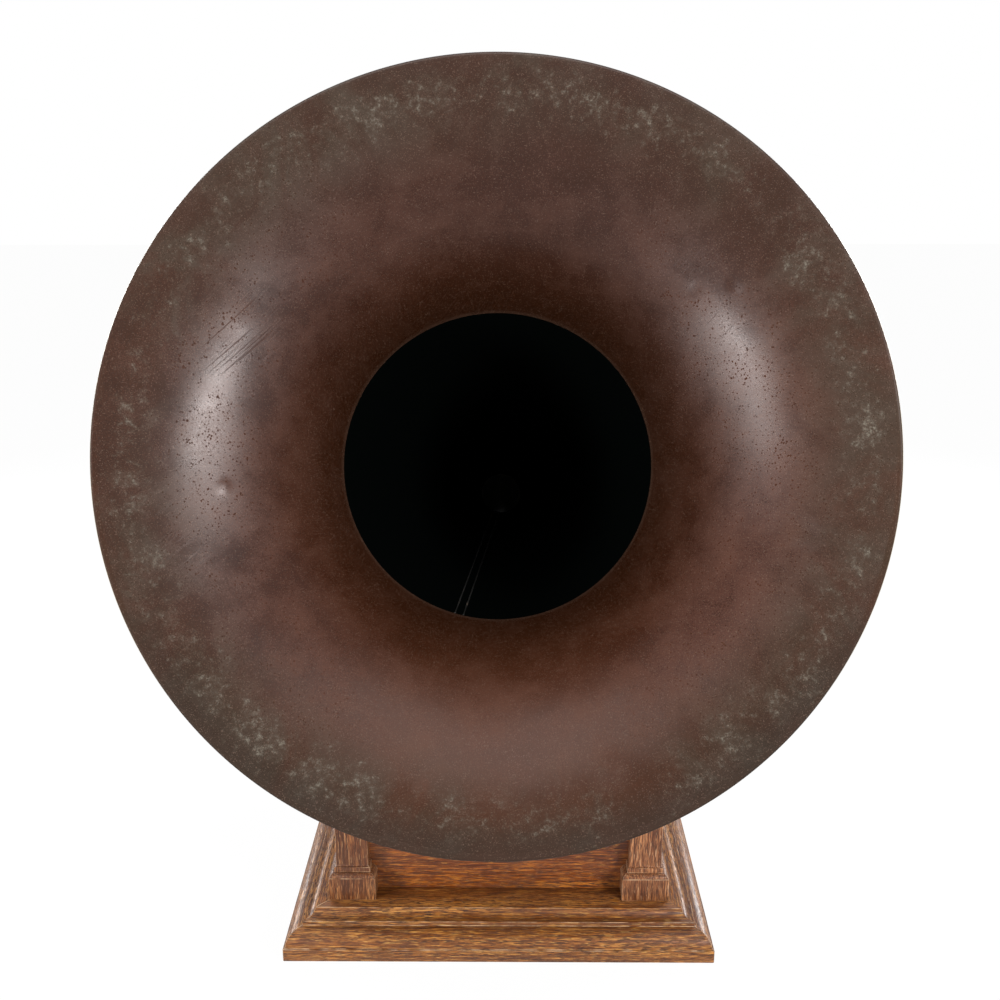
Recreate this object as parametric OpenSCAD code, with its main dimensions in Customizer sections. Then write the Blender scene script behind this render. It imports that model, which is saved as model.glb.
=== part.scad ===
// Horn gramophone: an oak case with a spring motor, a turntable, a tonearm and a large flared horn.
// The origin is the centre of the plinth's underside. +X is right, -Y is the front, +Z is up.

/* [Plinth] */
// Width and depth of the plinth at the floor
plinth_w = 380; // [370:1:420]
// Height of the straight band at the floor
band_h = 12; // [8:0.5:16]
// Step between the band and the quarter round
band_step = 1.5; // [0.5:0.25:3]
// Radius of the quarter round
plinth_round_r = 14; // [10:0.5:16]
// Height of the fillet above the quarter round
fillet_h = 4; // [2:0.5:6]
// Ledge between the fillet and the hollow
ledge_w = 3.5; // [1:0.5:6]
// Radius of the hollow under the shelf
plinth_hollow_r = 7; // [4:0.5:9]
// Thickness of the bottom board
bottom_t = 10; // [6:0.5:12]
// Gap left at each mitre
mitre_gap = 0.2; // [0.1:0.05:0.4]

/* [Case] */
// Width and depth of the case over its panels
case_w = 268; // [262:1:276]
// Thickness of the panels
panel_t = 12; // [9:0.5:14]
// Height of the panels above the shelf
panel_h = 127; // [124:0.5:135]
// Gap between panels at a corner
panel_gap = 0.3; // [0.1:0.1:1]
// Distance from a panel's face back to a post's centre
post_sink = 2; // [0:0.5:6]
// Width of a post's base and cap blocks
post_block_w = 42; // [36:0.5:46]
// Height of the base block
post_base_h = 21.5; // [15:0.5:30]
// Height of the cap block
post_cap_h = 12; // [8:0.5:16]
// Height of a post
post_h = 121; // [110:0.5:122]
// Step between a post's block and its quarter round
post_step = 0.8; // [0.4:0.1:1.5]
// Radius of the post's quarter round
post_round_r = 4.2; // [2.5:0.1:5]
// Height of the fillet between the post's round and hollow
post_fillet_h = 4.5; // [2:0.25:5]
// Radius of the post's hollow
post_hollow_r = 1.7; // [1.5:0.1:3.5]
// Overhang of the cornice's lowest band past the cap blocks
cornice_lip = 2; // [1:0.25:4]
// Height of the cornice's lowest band
cornice_band_h = 3; // [2:0.25:4]
// Radius of the cornice's hollow
cornice_hollow_r = 9; // [6:0.5:10]
// Thickness of the motor board
board_t = 12; // [10:0.5:14]
// Gap round the motor board
board_gap = 0.4; // [0.2:0.1:1]

/* [Horn] */
// Diameter of the horn's mouth
mouth_d = 551; // [500:1:580]
// Diameter where the bell meets the cone
throat_d = 244; // [200:1:280]
// Length of the bell along the horn's axis
bell_l = 130; // [110:1:160]
// Slope of the bell's wall at the throat, in degrees
bell_slope = 20; // [16:0.5:24]
// Thickness of the sheet metal
sheet_t = 1.2; // [0.8:0.1:2]
// Radius of the turned edge at the mouth
rim_r = 2.2; // [1.5:0.1:3]
// Length of the cone
cone_l = 359; // [330:1:400]
// Bore of the cone at its small end
cone_bore_d = 42; // [34:1:46]
// Angle of the horn's axis above level, in degrees
horn_tilt = 20; // [15:0.5:24]
// Bend radius of the elbow
elbow_r = 36; // [34:1:50]
// Wall of the elbow
elbow_t = 2; // [1.5:0.1:3]
// Height of the beads at both ends of the elbow's bend
bead_h = 4; // [2:0.5:6]
// Straight stub between the elbow's bend and the cone
stub_l = 6; // [4:0.5:10]
// Height of the flanges at the cone's small end
flange_h = 3; // [2:0.25:4]
// Radial width of those flanges
flange_w = 5; // [3:0.25:7]
// Radial wall of the union ring round the flanges
union_wall = 3; // [2:0.25:5]
// Width of the joint ring behind the throat
joint_ring_l = 7; // [5:0.5:10]
// Radial height of the joint ring
joint_ring_h = 3; // [2:0.25:5]

/* [Back bracket] */
// Distance from the case's back to the axis of the tonearm and the horn
pivot_out = 71; // [66:1:86]
// Radius of the bracket ring
ring_r = 23; // [21:0.5:26]
// Length of the tonearm's bearing in the ring
ring_low_h = 11; // [8:0.5:14]
// Length of the horn's socket in the ring
ring_up_h = 19.5; // [18:0.5:26]
// Radius of the horn's spigot
spigot_r = 16; // [15.5:0.25:17.5]
// Length of the horn's spigot
spigot_l = 14; // [10:0.5:15]
// Thickness of the shoulder above the spigot
shoulder_h = 3; // [3:0.2:7]
// Width of the bracket's stem
stem_w = 24; // [16:1:30]
// Thickness of the bracket's stem
stem_t = 18; // [12:1:20]
// Radius of the stem's lower bend
stem_bend_r = 100; // [97:1:106]
// Radius of the stem's upper bend
stem_top_r = 25; // [22:1:30]
// Thickness of the bracket's foot
foot_t = 8; // [6:0.5:10]
// Width of the bracket's foot
foot_w = 64; // [50:1:70]
// Height of the bracket's foot
foot_h = 68; // [56:1:72]
// Distance of the foot's screws from its edges
foot_screw_inset = 10; // [8:0.5:14]
// Gap between the bracket's foot and the cornice
foot_gap = 3; // [2:0.5:5]
// Clearance of a running fit, per side
run_gap = 0.05; // [0.03:0.01:0.08]
// End play between faces that turn on each other
end_gap = 0.3; // [0.2:0.05:0.5]
// Radius of the clamp screw's shank
clamp_r = 3; // [2:0.25:4]
// Radius of the clamp screw's head
clamp_head_r = 9; // [6:0.5:12]
// Thickness of the clamp screw's head
clamp_head_h = 5; // [3:0.5:7]
// Distance from the ring to the clamp screw's head
clamp_reach = 4; // [2:0.5:8]

/* [Turntable] */
// Distance from the case's face to the platter's edge
platter_inset = 7; // [6:0.5:14]
// Height of the platter
platter_h = 10; // [8:0.5:14]
// Thickness of the platter's top and skirt
platter_t = 3; // [2:0.25:4]
// Gap between the board and the platter
platter_gap = 5; // [4:0.5:7]
// Radius of the platter's hub
hub_r = 14; // [10:0.5:18]
// Thickness of the felt
felt_t = 2; // [1:0.25:3]
// Margin from the felt to the platter's edge
felt_margin = 3; // [2:0.5:6]
// Radius of the spindle in the motor
spindle_r = 4; // [3.75:0.05:4.5]
// Radius of the pin that centres a record
pin_r = 3.6; // [3.5:0.05:3.65]
// Height of the pin above the felt
pin_h = 13; // [8:0.5:16]

/* [Tonearm] */
// Thickness of a record under the needle
record_t = 1.8; // [1.5:0.1:2.2]
// Height of the soundbox's centre above the needle's tip
soundbox_drop = 38.2; // [36:0.1:42]
// Distance from the spindle to the gooseneck's hinge with the arm straight ahead
arm_short = 48; // [40:1:55]
// Radius of the tonearm at the pivot
arm_r = 11; // [10.5:0.25:11.5]
// Radius of the tonearm at its front
arm_tip_r = 8; // [7:0.25:9]
// Wall of the tonearm
arm_t = 1.5; // [1:0.1:2]
// Bend radius under the ring
arm_bend_r = 20; // [18:0.5:26]
// Bend radius at the front
arm_front_r = 12; // [11:0.5:15]
// Length of the gooseneck's socket
socket_l = 14; // [10:0.5:18]
// Wall of the gooseneck's socket
socket_t = 2.5; // [2:0.25:3.5]
// Radius of the gooseneck's tube
neck_r = 7; // [6:0.25:7.5]
// Wall of the gooseneck
neck_t = 1.4; // [1:0.1:2]
// Bend radius of the gooseneck
neck_bend_r = 25; // [24:0.5:28]
// Straight run from the gooseneck to the soundbox
neck_run = 12; // [8:0.5:16]
// Angle at which the arm is parked, in degrees
arm_park = 40; // [38:1:46]
// Height and overhang of the collar under the ring
collar = 3; // [2:0.25:4]
// Height of the ring nut on the tonearm
nut_h = 4; // [3:0.25:5]

/* [Soundbox] */
// Radius of the soundbox
soundbox_r = 24; // [22:0.5:25]
// Depth of the soundbox's shell
shell_h = 10; // [8:0.5:12]
// Depth of the front ring
front_ring_h = 4; // [3:0.25:5]
// Width of the front ring
front_ring_w = 4.5; // [3:0.25:6]
// Depth of the chamber behind the diaphragm
chamber_h = 3; // [2:0.25:5]
// Thickness of the diaphragm
diaphragm_t = 0.6; // [0.4:0.1:1]
// Wall round the diaphragm's seat
seat_wall = 1.5; // [1:0.1:2]
// Size of the needle bar's clamp block
chuck_w = 6; // [5:0.25:8]
// Height of the clamp block
chuck_h = 8; // [6:0.5:9]
// Radius of the needle bar
bar_r = 1.2; // [0.8:0.1:1.6]
// Radius of the needle
needle_r = 0.8; // [0.6:0.05:1]
// Slope of the needle from upright, in degrees
needle_slope = 25; // [20:1:30]

/* [Motor] */
// Thickness of the motor's plates
plate_t = 4; // [3:0.25:5]
// Distance between the motor's plates
plate_span = 98; // [96:0.5:102]
// Gap between the barrel gear and the right panel
barrel_clear = 6; // [4:0.5:7]
// Module of the barrel gear and its pinion
barrel_mod = 1.25; // [1.2:0.01:1.3]
// Teeth of the barrel gear
barrel_teeth = 72; // [66:1:72]
// Teeth of the intermediate pinion
mid_pinion_teeth = 12; // [10:1:14]
// Module of the intermediate wheel and the spindle pinion
mid_mod = 1; // [0.95:0.01:1.05]
// Teeth of the intermediate wheel
mid_teeth = 64; // [58:1:66]
// Teeth of the spindle pinion
spindle_teeth = 14; // [12:1:16]
// Thickness of the gears
gear_t = 5; // [3:0.25:6]
// Radius of the spring barrel
barrel_r = 40; // [34:0.5:41]
// Height of the spring barrel
barrel_h = 36; // [28:0.5:38]
// Wall of the spring barrel
barrel_t = 2; // [1.5:0.1:3]
// Radius of the barrel arbor
arbor_r = 5; // [4:0.25:6]
// Radius of the intermediate arbor
mid_arbor_r = 3; // [2.5:0.1:3.5]
// Radius of the motor's pillars
pillar_r = 5; // [4:0.25:6]
// Margin of the plates round the gears
plate_margin = 6; // [5:0.5:8]

/* [Winding] */
// Height of the crank's shaft below the motor board
crank_drop = 24; // [22:0.5:26]
// Radius of the crank's shaft
crank_r = 5; // [4:0.25:5.5]
// Distance from the case to the crank's arm
crank_reach = 62; // [60:1:70]
// Length of the crank's arm
crank_l = 105; // [80:1:110]
// Width of the crank's arm
crank_arm_w = 14; // [12:0.5:18]
// Thickness of the crank's arm
crank_arm_t = 7; // [5:0.25:9]
// Length of the crank's knob
knob_l = 58; // [40:1:70]
// Radius of the crank's knob
knob_r = 13; // [10:0.5:15]
// Thickness of the washer that keeps the knob on
knob_washer_t = 2; // [1:0.25:3]
// Module of the winding gears
wind_mod = 2; // [1.9:0.05:2.1]
// Teeth of the crank's pinion
crank_teeth = 10; // [9:1:11]
// Teeth of the crown gear
crown_teeth = 16; // [15:1:17]
// Radius of the escutcheon
escutcheon_r = 16; // [15.5:0.25:17]
// Thickness of the escutcheon
escutcheon_t = 3; // [2:0.25:4]

/* [Governor] */
// Teeth of the worm wheel
worm_teeth = 28; // [26:1:30]
// Module of the worm
worm_mod = 1; // [0.95:0.05:1.05]
// Pitch radius of the worm
worm_r = 5; // [4.75:0.25:5.5]
// Length of the worm
worm_l = 14; // [12:0.5:16]
// Radius of the governor's spindle
gov_r = 2.5; // [2:0.1:2.8]
// Length of the governor between its brackets
gov_l = 92; // [88:1:96]
// Radius at which the weights lie
weight_orbit = 13; // [11:0.5:15]
// Radius of a weight
weight_r = 5; // [4:0.25:6]
// Radius of the governor's disc
disc_r = 15; // [12:0.5:17]
// Thickness of the governor's disc
disc_t = 3; // [2:0.25:4]

/* [Controls] */
// Distance of the needle cups and the brake from the case's faces
corner_inset = 21; // [18:0.5:23]
// Radius of a needle cup's bowl
cup_r = 13; // [10:0.5:14]
// Wall of a needle cup
cup_t = 1.5; // [1:0.1:2]
// Rim of a needle cup
cup_rim = 4; // [3:0.25:5]
// Thickness of a needle cup's rim and floor
cup_rim_t = 2; // [1:0.25:3]
// Distance of the regulator from the case's faces
regulator_inset = 33; // [30:0.5:35]
// Radius of the regulator's knob
regulator_r = 9; // [7:0.5:11]
// Height of the regulator's knob
regulator_h = 7; // [5:0.5:10]
// Radius of the regulator's stem
regulator_stem_r = 3; // [2.5:0.1:3.5]
// Width of the brake lever
brake_w = 9; // [7:0.5:12]
// Thickness of the brake lever
brake_t = 2.5; // [2:0.25:3]
// Length of the brake lever's handle
brake_l = 34; // [28:1:38]
// Depth of the brake pad
brake_pad = 6; // [4:0.5:8]
// Height of the brake lever's peg
brake_peg_h = 14; // [10:0.5:16]
// Gap between the brake pad and the platter
brake_gap = 0.8; // [0.6:0.1:1.2]

/* [Fasteners] */
// Radius of a wood screw's shank
screw_r = 1.8; // [1.4:0.1:2.2]
// Radius of a wood screw's head
screw_head_r = 3.6; // [3:0.1:4.2]
// Height of a wood screw's head
screw_head_h = 1.8; // [1.4:0.1:2.2]
// Length of a wood screw
screw_l = 22; // [20:0.5:26]
// Radius of a motor bolt
bolt_r = 2.5; // [2:0.1:3]

/* [Hidden] */
$fn = 96;

// Heights of the case
shelf_z = band_h + plinth_round_r + fillet_h + plinth_hollow_r;
cornice_z = shelf_z + post_h;
board_z = shelf_z + panel_h;
top_z = board_z + board_t;
platter_z = top_z + platter_gap;
felt_z = platter_z + platter_h;
record_z = felt_z + felt_t;

// Plan of the case
case_half = case_w / 2;
panel_half = case_half - panel_t - panel_gap;
post_c = case_half - post_sink;
post_shaft_w = post_block_w - 2 * (post_step + post_round_r + post_hollow_r);
cornice_half = post_c + post_block_w / 2 + cornice_lip;
platter_r = case_half - platter_inset;
pivot_y = case_half + pivot_out;
arm_l = pivot_y - arm_short;

// Tonearm, ring and horn heights
arm_z = record_z + record_t + soundbox_drop;
ring_z = arm_z + arm_bend_r + 2 * end_gap;
ledge_z = ring_z + ring_low_h;
ring_top_z = ledge_z + ring_up_h;
shoulder_z = ring_top_z + end_gap;
elbow_z = shoulder_z + shoulder_h;
ring_c_z = (ring_z + ring_top_z) / 2;
cone_r = cone_bore_d / 2;
flange_r = cone_r + flange_w;
throat_r = throat_d / 2;
mouth_r = mouth_d / 2;
bell_z = stub_l + cone_l;
// The bell is one arc from the throat's slope to the rim's slope
bell_chord_angle = atan2(mouth_r - throat_r, bell_l);
rim_slope = 2 * bell_chord_angle - bell_slope;
bell_r = bell_l / (sin(rim_slope) - sin(bell_slope));

// Gooseneck, soundbox and needle
neck_bend_x = -arm_front_r - socket_l - end_gap - neck_r / 2;
soundbox_x = neck_bend_x + neck_run;
bar_z = shell_h + front_ring_h + bar_r;
needle_l = (soundbox_drop - soundbox_r - end_gap) / cos(needle_slope);

// Stem of the bracket
foot_y = case_half + foot_t;
stem_y = foot_y + stem_bend_r;
stem_z = ring_c_z - stem_top_r;
foot_z = cornice_z - foot_gap - foot_h;
foot_screw_x = foot_w / 2 - foot_screw_inset;
foot_screw_z = [foot_z + foot_screw_inset, foot_z + foot_h - foot_screw_inset];

// Motor layout
plate_z = board_z - plate_t;
base_z = plate_z - plate_span - plate_t;
tooth_share = 0.34;
tooth_tip = 0.8;
tooth_root = 1.2;
barrel_x = case_half - panel_t - barrel_clear - barrel_mod * (barrel_teeth / 2 + tooth_tip);
mid_c1 = mid_mod * (mid_teeth + spindle_teeth) / 2;
mid_c2 = barrel_mod * (barrel_teeth + mid_pinion_teeth) / 2;
mid_x = (mid_c1 * mid_c1 - mid_c2 * mid_c2 + barrel_x * barrel_x) / (2 * barrel_x);
mid_y = sqrt(mid_c1 * mid_c1 - mid_x * mid_x);
crank_z = board_z - crank_drop;
crank_pitch_r = wind_mod * crank_teeth / 2;
crown_r = wind_mod * crown_teeth / 2;
crown_z = crank_z - crank_pitch_r;
crown_t = 4;
crown_face = 5;
crown_lift = 13;
crown_floor_z = crown_z - 1.3 * wind_mod;
barrel_gear_z = crown_z - crown_lift;
barrel_z = barrel_gear_z - barrel_h;
mid_wheel_drop = 13;
mid_wheel_z = plate_z - mid_wheel_drop;
worm_wheel_r = worm_mod * worm_teeth / 2;
worm_drop = 18;
worm_z = barrel_gear_z - worm_drop;
gov_x = -(worm_wheel_r + worm_r);
worm_clear = 6;
gov_back_y = worm_l / 2 + worm_clear;
gov_front_y = gov_back_y - gov_l;
gov_bracket_t = 5;
weight_reach = 27;
weight_y = -worm_l / 2 - weight_reach;
disc_reach = 16;
disc_y = gov_front_y + disc_reach;
gov_bracket_wall = 4;
gov_bracket_w = 2 * (gov_r + gov_bracket_wall);
plate_low = [gov_x - gov_bracket_w / 2 - 2 * pillar_r - plate_margin,
    gov_front_y - gov_bracket_t - plate_margin];
plate_high = [barrel_x + barrel_mod * barrel_teeth / 2 - plate_margin,
    mid_y + mid_mod * mid_teeth / 2 + plate_margin];
pillar_edge = 2;
pillar_inset = pillar_r + pillar_edge;
regulator_way = 8;
pillars = [
    [plate_low[0] + pillar_inset, disc_y + pillar_r + regulator_way],
    [plate_high[0] - pillar_inset, plate_low[1] + pillar_inset],
    [plate_low[0] + pillar_inset, plate_high[1] - pillar_inset],
    [plate_high[0] - pillar_inset, plate_high[1] - pillar_inset]];

// Turns that put a tooth of each follower in a gap of its driver
mid_angle = atan2(mid_y, mid_x);
mesh_turn = mid_angle + 180 / spindle_teeth;
wheel_turn = mid_angle + 180;
pinion_angle = atan2(mid_y, mid_x - barrel_x);
barrel_turn = pinion_angle + 180 / barrel_teeth;
pinion_turn = pinion_angle + 180;

// Fittings on the motor board
corner_pos = case_half - corner_inset;
cups = [[corner_pos, corner_pos], [-corner_pos, corner_pos]];
regulator_pos = case_half - regulator_inset;
regulator_at = [-regulator_pos, -regulator_pos];
brake_shift = 6;
brake_at = [corner_pos, -corner_pos + brake_shift];
board_screw_row = case_half - panel_t / 2;
board_screw_step = case_w / 5;
board_screws = [for (s = [-1, 1], t = [-1, 1]) each
    [[s * board_screw_row, t * board_screw_step], [t * board_screw_step, s * board_screw_row]]];
screw_edge = 1.5;
escutcheon_screw_r = escutcheon_r - screw_head_r - screw_edge;
spindle_way = 6;
crank_way = 3;
crank_x = case_half + crank_reach;
gov_angles = [30, 150, 270];
leaf_t = 0.4;
leaf_w = 5;
hub_l = 6;
leaf_flat = weight_orbit - weight_r - leaf_t - 0.1;

// Shapes used by several pieces

module slab(low, high) {
    translate(low) cube(high - low);
}

module ring_2d(r, wall) {
    difference() {
        circle(r);
        circle(r - wall);
    }
}

// A square-plan moulding whose outline, seen from the front and from the side, is the child
module square_plan(width) {
    intersection() {
        rotate([90, 0, 0]) linear_extrude(width, center = true) children();
        rotate([90, 0, 90]) linear_extrude(width, center = true) children();
    }
}

// Cuts a square-plan moulding into four mitred lengths
module mitred(half, height) {
    for (turn = [0:90:270])
        intersection() {
            children();
            rotate(turn) linear_extrude(height)
                polygon([[0, -mitre_gap], [-half, -half - mitre_gap], [half, -half - mitre_gap]]);
        }
}

// Gear outline with straight-sided teeth, slim enough to run with play
module gear_2d(teeth, mod) {
    pitch_r = mod * teeth / 2;
    root_r = pitch_r - tooth_root * mod;
    tip_r = pitch_r + tooth_tip * mod;
    step = 360 / teeth;
    half_root = step * tooth_share * 0.62;
    half_tip = step * tooth_share * 0.36;
    polygon([for (i = [0:teeth - 1]) each [
        root_r * [cos(i * step - half_root), sin(i * step - half_root)],
        tip_r * [cos(i * step - half_tip), sin(i * step - half_tip)],
        tip_r * [cos(i * step + half_tip), sin(i * step + half_tip)],
        root_r * [cos(i * step + half_root), sin(i * step + half_root)]]]);
}

module gear(teeth, mod, bore) {
    linear_extrude(gear_t) difference() {
        gear_2d(teeth, mod);
        circle(bore);
    }
}

// Slotted round-head screw along -Z, with its head's seat at the origin
module screw(shank_r, head_r, head_h, length) {
    translate([0, 0, -length]) cylinder(r = shank_r, h = length);
    difference() {
        intersection() {
            cylinder(r = head_r, h = head_h);
            translate([0, 0, head_h - head_r * 1.6]) sphere(head_r * 1.6);
        }
        translate([-head_r, -head_r / 8, head_h / 2]) cube([2 * head_r, head_r / 4, head_h]);
    }
}

module wood_screw(length) {
    screw(screw_r, screw_head_r, screw_head_h, length);
}

module at_board_screws() {
    for (p = board_screws) translate([p[0], p[1], top_z]) children();
}

module at_escutcheon_screws() {
    translate([case_half + escutcheon_t, 0, crank_z]) rotate([0, 90, 0])
        for (turn = [60:120:300]) rotate(turn) translate([escutcheon_screw_r, 0, 0]) children();
}

module at_bracket_screws() {
    for (x = [-foot_screw_x, foot_screw_x], z = foot_screw_z)
        translate([x, foot_y, z]) rotate([-90, 0, 0]) children();
}

// Frame of the horn: the origin is the end of the elbow's bend, +Z runs to the mouth
module along_horn() {
    translate([0, pivot_y - elbow_r + elbow_r * sin(horn_tilt), elbow_z + elbow_r * cos(horn_tilt)])
        rotate([90 - horn_tilt, 0, 0]) children();
}

// Frame of the tonearm: the pivot is the origin in plan, and the arm runs along -Y
module at_arm() {
    translate([0, pivot_y, 0]) rotate(arm_park) children();
}

// Frame of the soundbox: the origin is the centre of its back, +Z runs out of its front
module at_soundbox() {
    at_arm() translate([soundbox_x, -arm_l - 2 * neck_bend_r, arm_z]) rotate([0, 90, 0]) children();
}

// Case

module plinth_outline() {
    half = plinth_w / 2;
    round_half = half - band_step;
    fillet_half = round_half - plinth_round_r;
    hollow_half = fillet_half - ledge_w;
    round_z = band_h + plinth_round_r;
    hollow_z = round_z + fillet_h;
    translate([-half, 0]) square([2 * half, band_h]);
    translate([-fillet_half, 0]) square([2 * fillet_half, hollow_z]);
    for (s = [-1, 1]) intersection() {
        translate([s * fillet_half, band_h]) circle(plinth_round_r);
        translate([-round_half, band_h]) square([2 * round_half, plinth_round_r]);
    }
    difference() {
        translate([-hollow_half, hollow_z]) square([2 * hollow_half, plinth_hollow_r]);
        for (s = [-1, 1]) translate([s * hollow_half, hollow_z + plinth_hollow_r]) circle(plinth_hollow_r);
    }
}

module plinth_mouldings() {
    color("sienna") mitred(plinth_w, shelf_z) difference() {
        square_plan(plinth_w + 2) plinth_outline();
        slab([-case_half + panel_t, -case_half + panel_t, -1],
            [case_half - panel_t, case_half - panel_t, shelf_z + 1]);
    }
}

module bottom_board() {
    inner = case_half - panel_t;
    color("peru") slab([-inner, -inner, 0], [inner, inner, bottom_t]);
}

module post_end_outline(block_h) {
    half = post_block_w / 2;
    round_half = half - post_step - post_round_r;
    round_z = block_h + post_round_r;
    hollow_z = round_z + post_fillet_h;
    translate([-half, 0]) square([2 * half, block_h]);
    translate([-round_half, 0]) square([2 * round_half, hollow_z]);
    for (s = [-1, 1]) intersection() {
        translate([s * round_half, block_h]) circle(post_round_r);
        translate([-half, block_h]) square([2 * half, post_round_r]);
    }
    difference() {
        translate([-round_half, hollow_z]) square([2 * round_half, post_hollow_r]);
        for (s = [-1, 1]) translate([s * round_half, hollow_z + post_hollow_r]) circle(post_hollow_r);
    }
}

module post_outline() {
    post_end_outline(post_base_h);
    translate([0, post_h]) mirror([0, 1]) post_end_outline(post_cap_h);
    translate([-post_shaft_w / 2, 0]) square([post_shaft_w, post_h]);
}

// A corner post, grooved for the two panels that meet in it
module post(side, depth) {
    color("saddlebrown") difference() {
        translate([side * post_c, depth * post_c, shelf_z]) square_plan(post_block_w + 2) post_outline();
        panel_slab(0);
        panel_slab(90);
        panel_slab(180);
        panel_slab(270);
    }
}

module post_front_left() { post(-1, -1); }
module post_front_right() { post(1, -1); }
module post_back_left() { post(-1, 1); }
module post_back_right() { post(1, 1); }

module panel_slab(turn) {
    rotate(turn) slab([-panel_half, -case_half, shelf_z], [panel_half, -case_half + panel_t, board_z]);
}

module panel(turn) {
    color("peru") difference() {
        panel_slab(turn);
        at_board_screws() wood_screw(screw_l);
        at_bracket_screws() wood_screw(foot_t + panel_t - screw_r);
        at_escutcheon_screws() wood_screw(escutcheon_t + panel_t - screw_r);
        translate([case_half - panel_t - 1, 0, crank_z]) rotate([0, 90, 0])
            cylinder(r = crank_r + crank_way, h = panel_t + 2);
    }
}

module front_panel() { panel(0); }
module right_panel() { panel(90); }
module back_panel() { panel(180); }
module left_panel() { panel(270); }

module cornice_outline() {
    height = top_z - cornice_z;
    hollow_z = cornice_band_h + cornice_hollow_r;
    wide = cornice_half + cornice_hollow_r;
    translate([-cornice_half, 0]) square([2 * cornice_half, height]);
    difference() {
        translate([-wide, cornice_band_h]) square([2 * wide, height - cornice_band_h]);
        for (s = [-1, 1]) translate([s * wide, cornice_band_h]) circle(cornice_hollow_r);
    }
    translate([-wide - cornice_lip, hollow_z]) square([2 * (wide + cornice_lip), height - hollow_z]);
}

module cornice_mouldings() {
    color("sienna") translate([0, 0, cornice_z]) mitred(plinth_w, top_z - cornice_z) difference() {
        square_plan(plinth_w) cornice_outline();
        slab([-case_half, -case_half, -1], [case_half, case_half, top_z]);
    }
}

module motor_board() {
    half = case_half - board_gap;
    color("peru") difference() {
        slab([-half, -half, board_z], [half, half, top_z]);
        at_board_screws() wood_screw(screw_l);
        translate([0, 0, board_z - 1]) cylinder(r = spindle_r + spindle_way, h = board_t + 2);
        for (c = cups) translate([c[0], c[1], board_z - 1]) cylinder(r = cup_r + cup_t, h = board_t + 2);
        translate([regulator_at[0], regulator_at[1], board_z - 1])
            cylinder(r = regulator_stem_r + run_gap, h = board_t + 2);
        translate([brake_at[0], brake_at[1], board_z - 1]) cylinder(r = screw_r + run_gap, h = board_t + 2);
        for (p = pillars) translate([p[0], p[1], board_z - 1]) {
            cylinder(r = bolt_r, h = board_t + 2);
            translate([0, 0, board_t + 1 - bolt_r]) cylinder(r = 2 * bolt_r, h = bolt_r + 1);
        }
    }
}

module wood_screws() {
    color("goldenrod") {
        at_board_screws() wood_screw(screw_l);
        at_escutcheon_screws() wood_screw(escutcheon_t + panel_t - screw_r);
    }
}

module crank_escutcheon() {
    color("silver") difference() {
        translate([case_half, 0, crank_z]) rotate([0, 90, 0]) cylinder(r = escutcheon_r, h = escutcheon_t);
        translate([case_half - 1, 0, crank_z]) rotate([0, 90, 0])
            cylinder(r = crank_r + run_gap, h = escutcheon_t + 2);
        at_escutcheon_screws() wood_screw(escutcheon_t + panel_t - screw_r);
    }
}

module needle_cups() {
    color("silver") for (c = cups) translate([c[0], c[1], board_z]) difference() {
        union() {
            cylinder(r = cup_r + cup_t, h = board_t);
            translate([0, 0, board_t]) cylinder(r = cup_r + cup_rim, h = cup_rim_t);
        }
        translate([0, 0, cup_rim_t]) cylinder(r = cup_r, h = board_t + cup_rim_t);
    }
}

// Horn support

module stem_outline() {
    translate([foot_y, stem_z]) intersection() {
        ring_2d(stem_bend_r + stem_t / 2, stem_t);
        translate([0, -2 * stem_bend_r]) square(2 * stem_bend_r);
    }
    translate([stem_y - stem_top_r, stem_z]) intersection() {
        ring_2d(stem_top_r + stem_t / 2, stem_t);
        square(2 * stem_top_r);
    }
    top_run = stem_y - stem_top_r - pivot_y;
    translate([pivot_y, ring_c_z - stem_t / 2]) square([top_run, stem_t]);
    translate([case_half, foot_z]) square([foot_t, foot_h]);
}

module back_bracket() {
    color("dimgray") difference() {
        union() {
            rotate([90, 0, 90]) linear_extrude(stem_w, center = true) stem_outline();
            slab([-foot_w / 2, case_half, foot_z], [foot_w / 2, foot_y, foot_z + foot_h]);
            translate([0, pivot_y, ring_z]) cylinder(r = ring_r, h = ring_top_z - ring_z);
        }
        translate([0, pivot_y, ring_z - 1]) cylinder(r = arm_r + run_gap, h = ring_low_h + 2);
        translate([0, pivot_y, ledge_z]) cylinder(r = spigot_r + run_gap, h = ring_up_h + 1);
        at_bracket_screws() wood_screw(foot_t + panel_t - screw_r);
        at_clamp() cylinder(r = clamp_r, h = ring_r + 1);
    }
}

module bracket_screws() {
    color("goldenrod") at_bracket_screws() wood_screw(foot_t + panel_t - screw_r);
}

module at_clamp() {
    translate([0, pivot_y, ring_top_z - spigot_l / 2]) rotate([0, 90, 0]) children();
}

module clamp_screw() {
    tip = spigot_r + end_gap;
    head = ring_r + clamp_reach;
    color("silver") at_clamp() {
        translate([0, 0, tip]) cylinder(r = clamp_r, h = head - tip);
        translate([0, 0, head]) cylinder(r = clamp_head_r, h = clamp_head_h);
    }
}

// Motor

module plate(z) {
    translate([plate_low[0], plate_low[1], z])
        cube([plate_high[0] - plate_low[0], plate_high[1] - plate_low[1], plate_t]);
}

module plate_holes(z, spindle_bore) {
    translate([0, 0, z - 1]) {
        cylinder(r = spindle_bore + run_gap, h = plate_t + 2);
        translate([barrel_x, 0, 0]) cylinder(r = arbor_r + run_gap, h = plate_t + 2);
        translate([mid_x, mid_y, 0]) cylinder(r = mid_arbor_r + run_gap, h = plate_t + 2);
        for (p = pillars) translate([p[0], p[1], 0]) cylinder(r = bolt_r, h = plate_t + 2);
    }
}

module motor_top_plate() {
    color("slategray") difference() {
        plate(plate_z);
        plate_holes(plate_z, spindle_r);
    }
}

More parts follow.
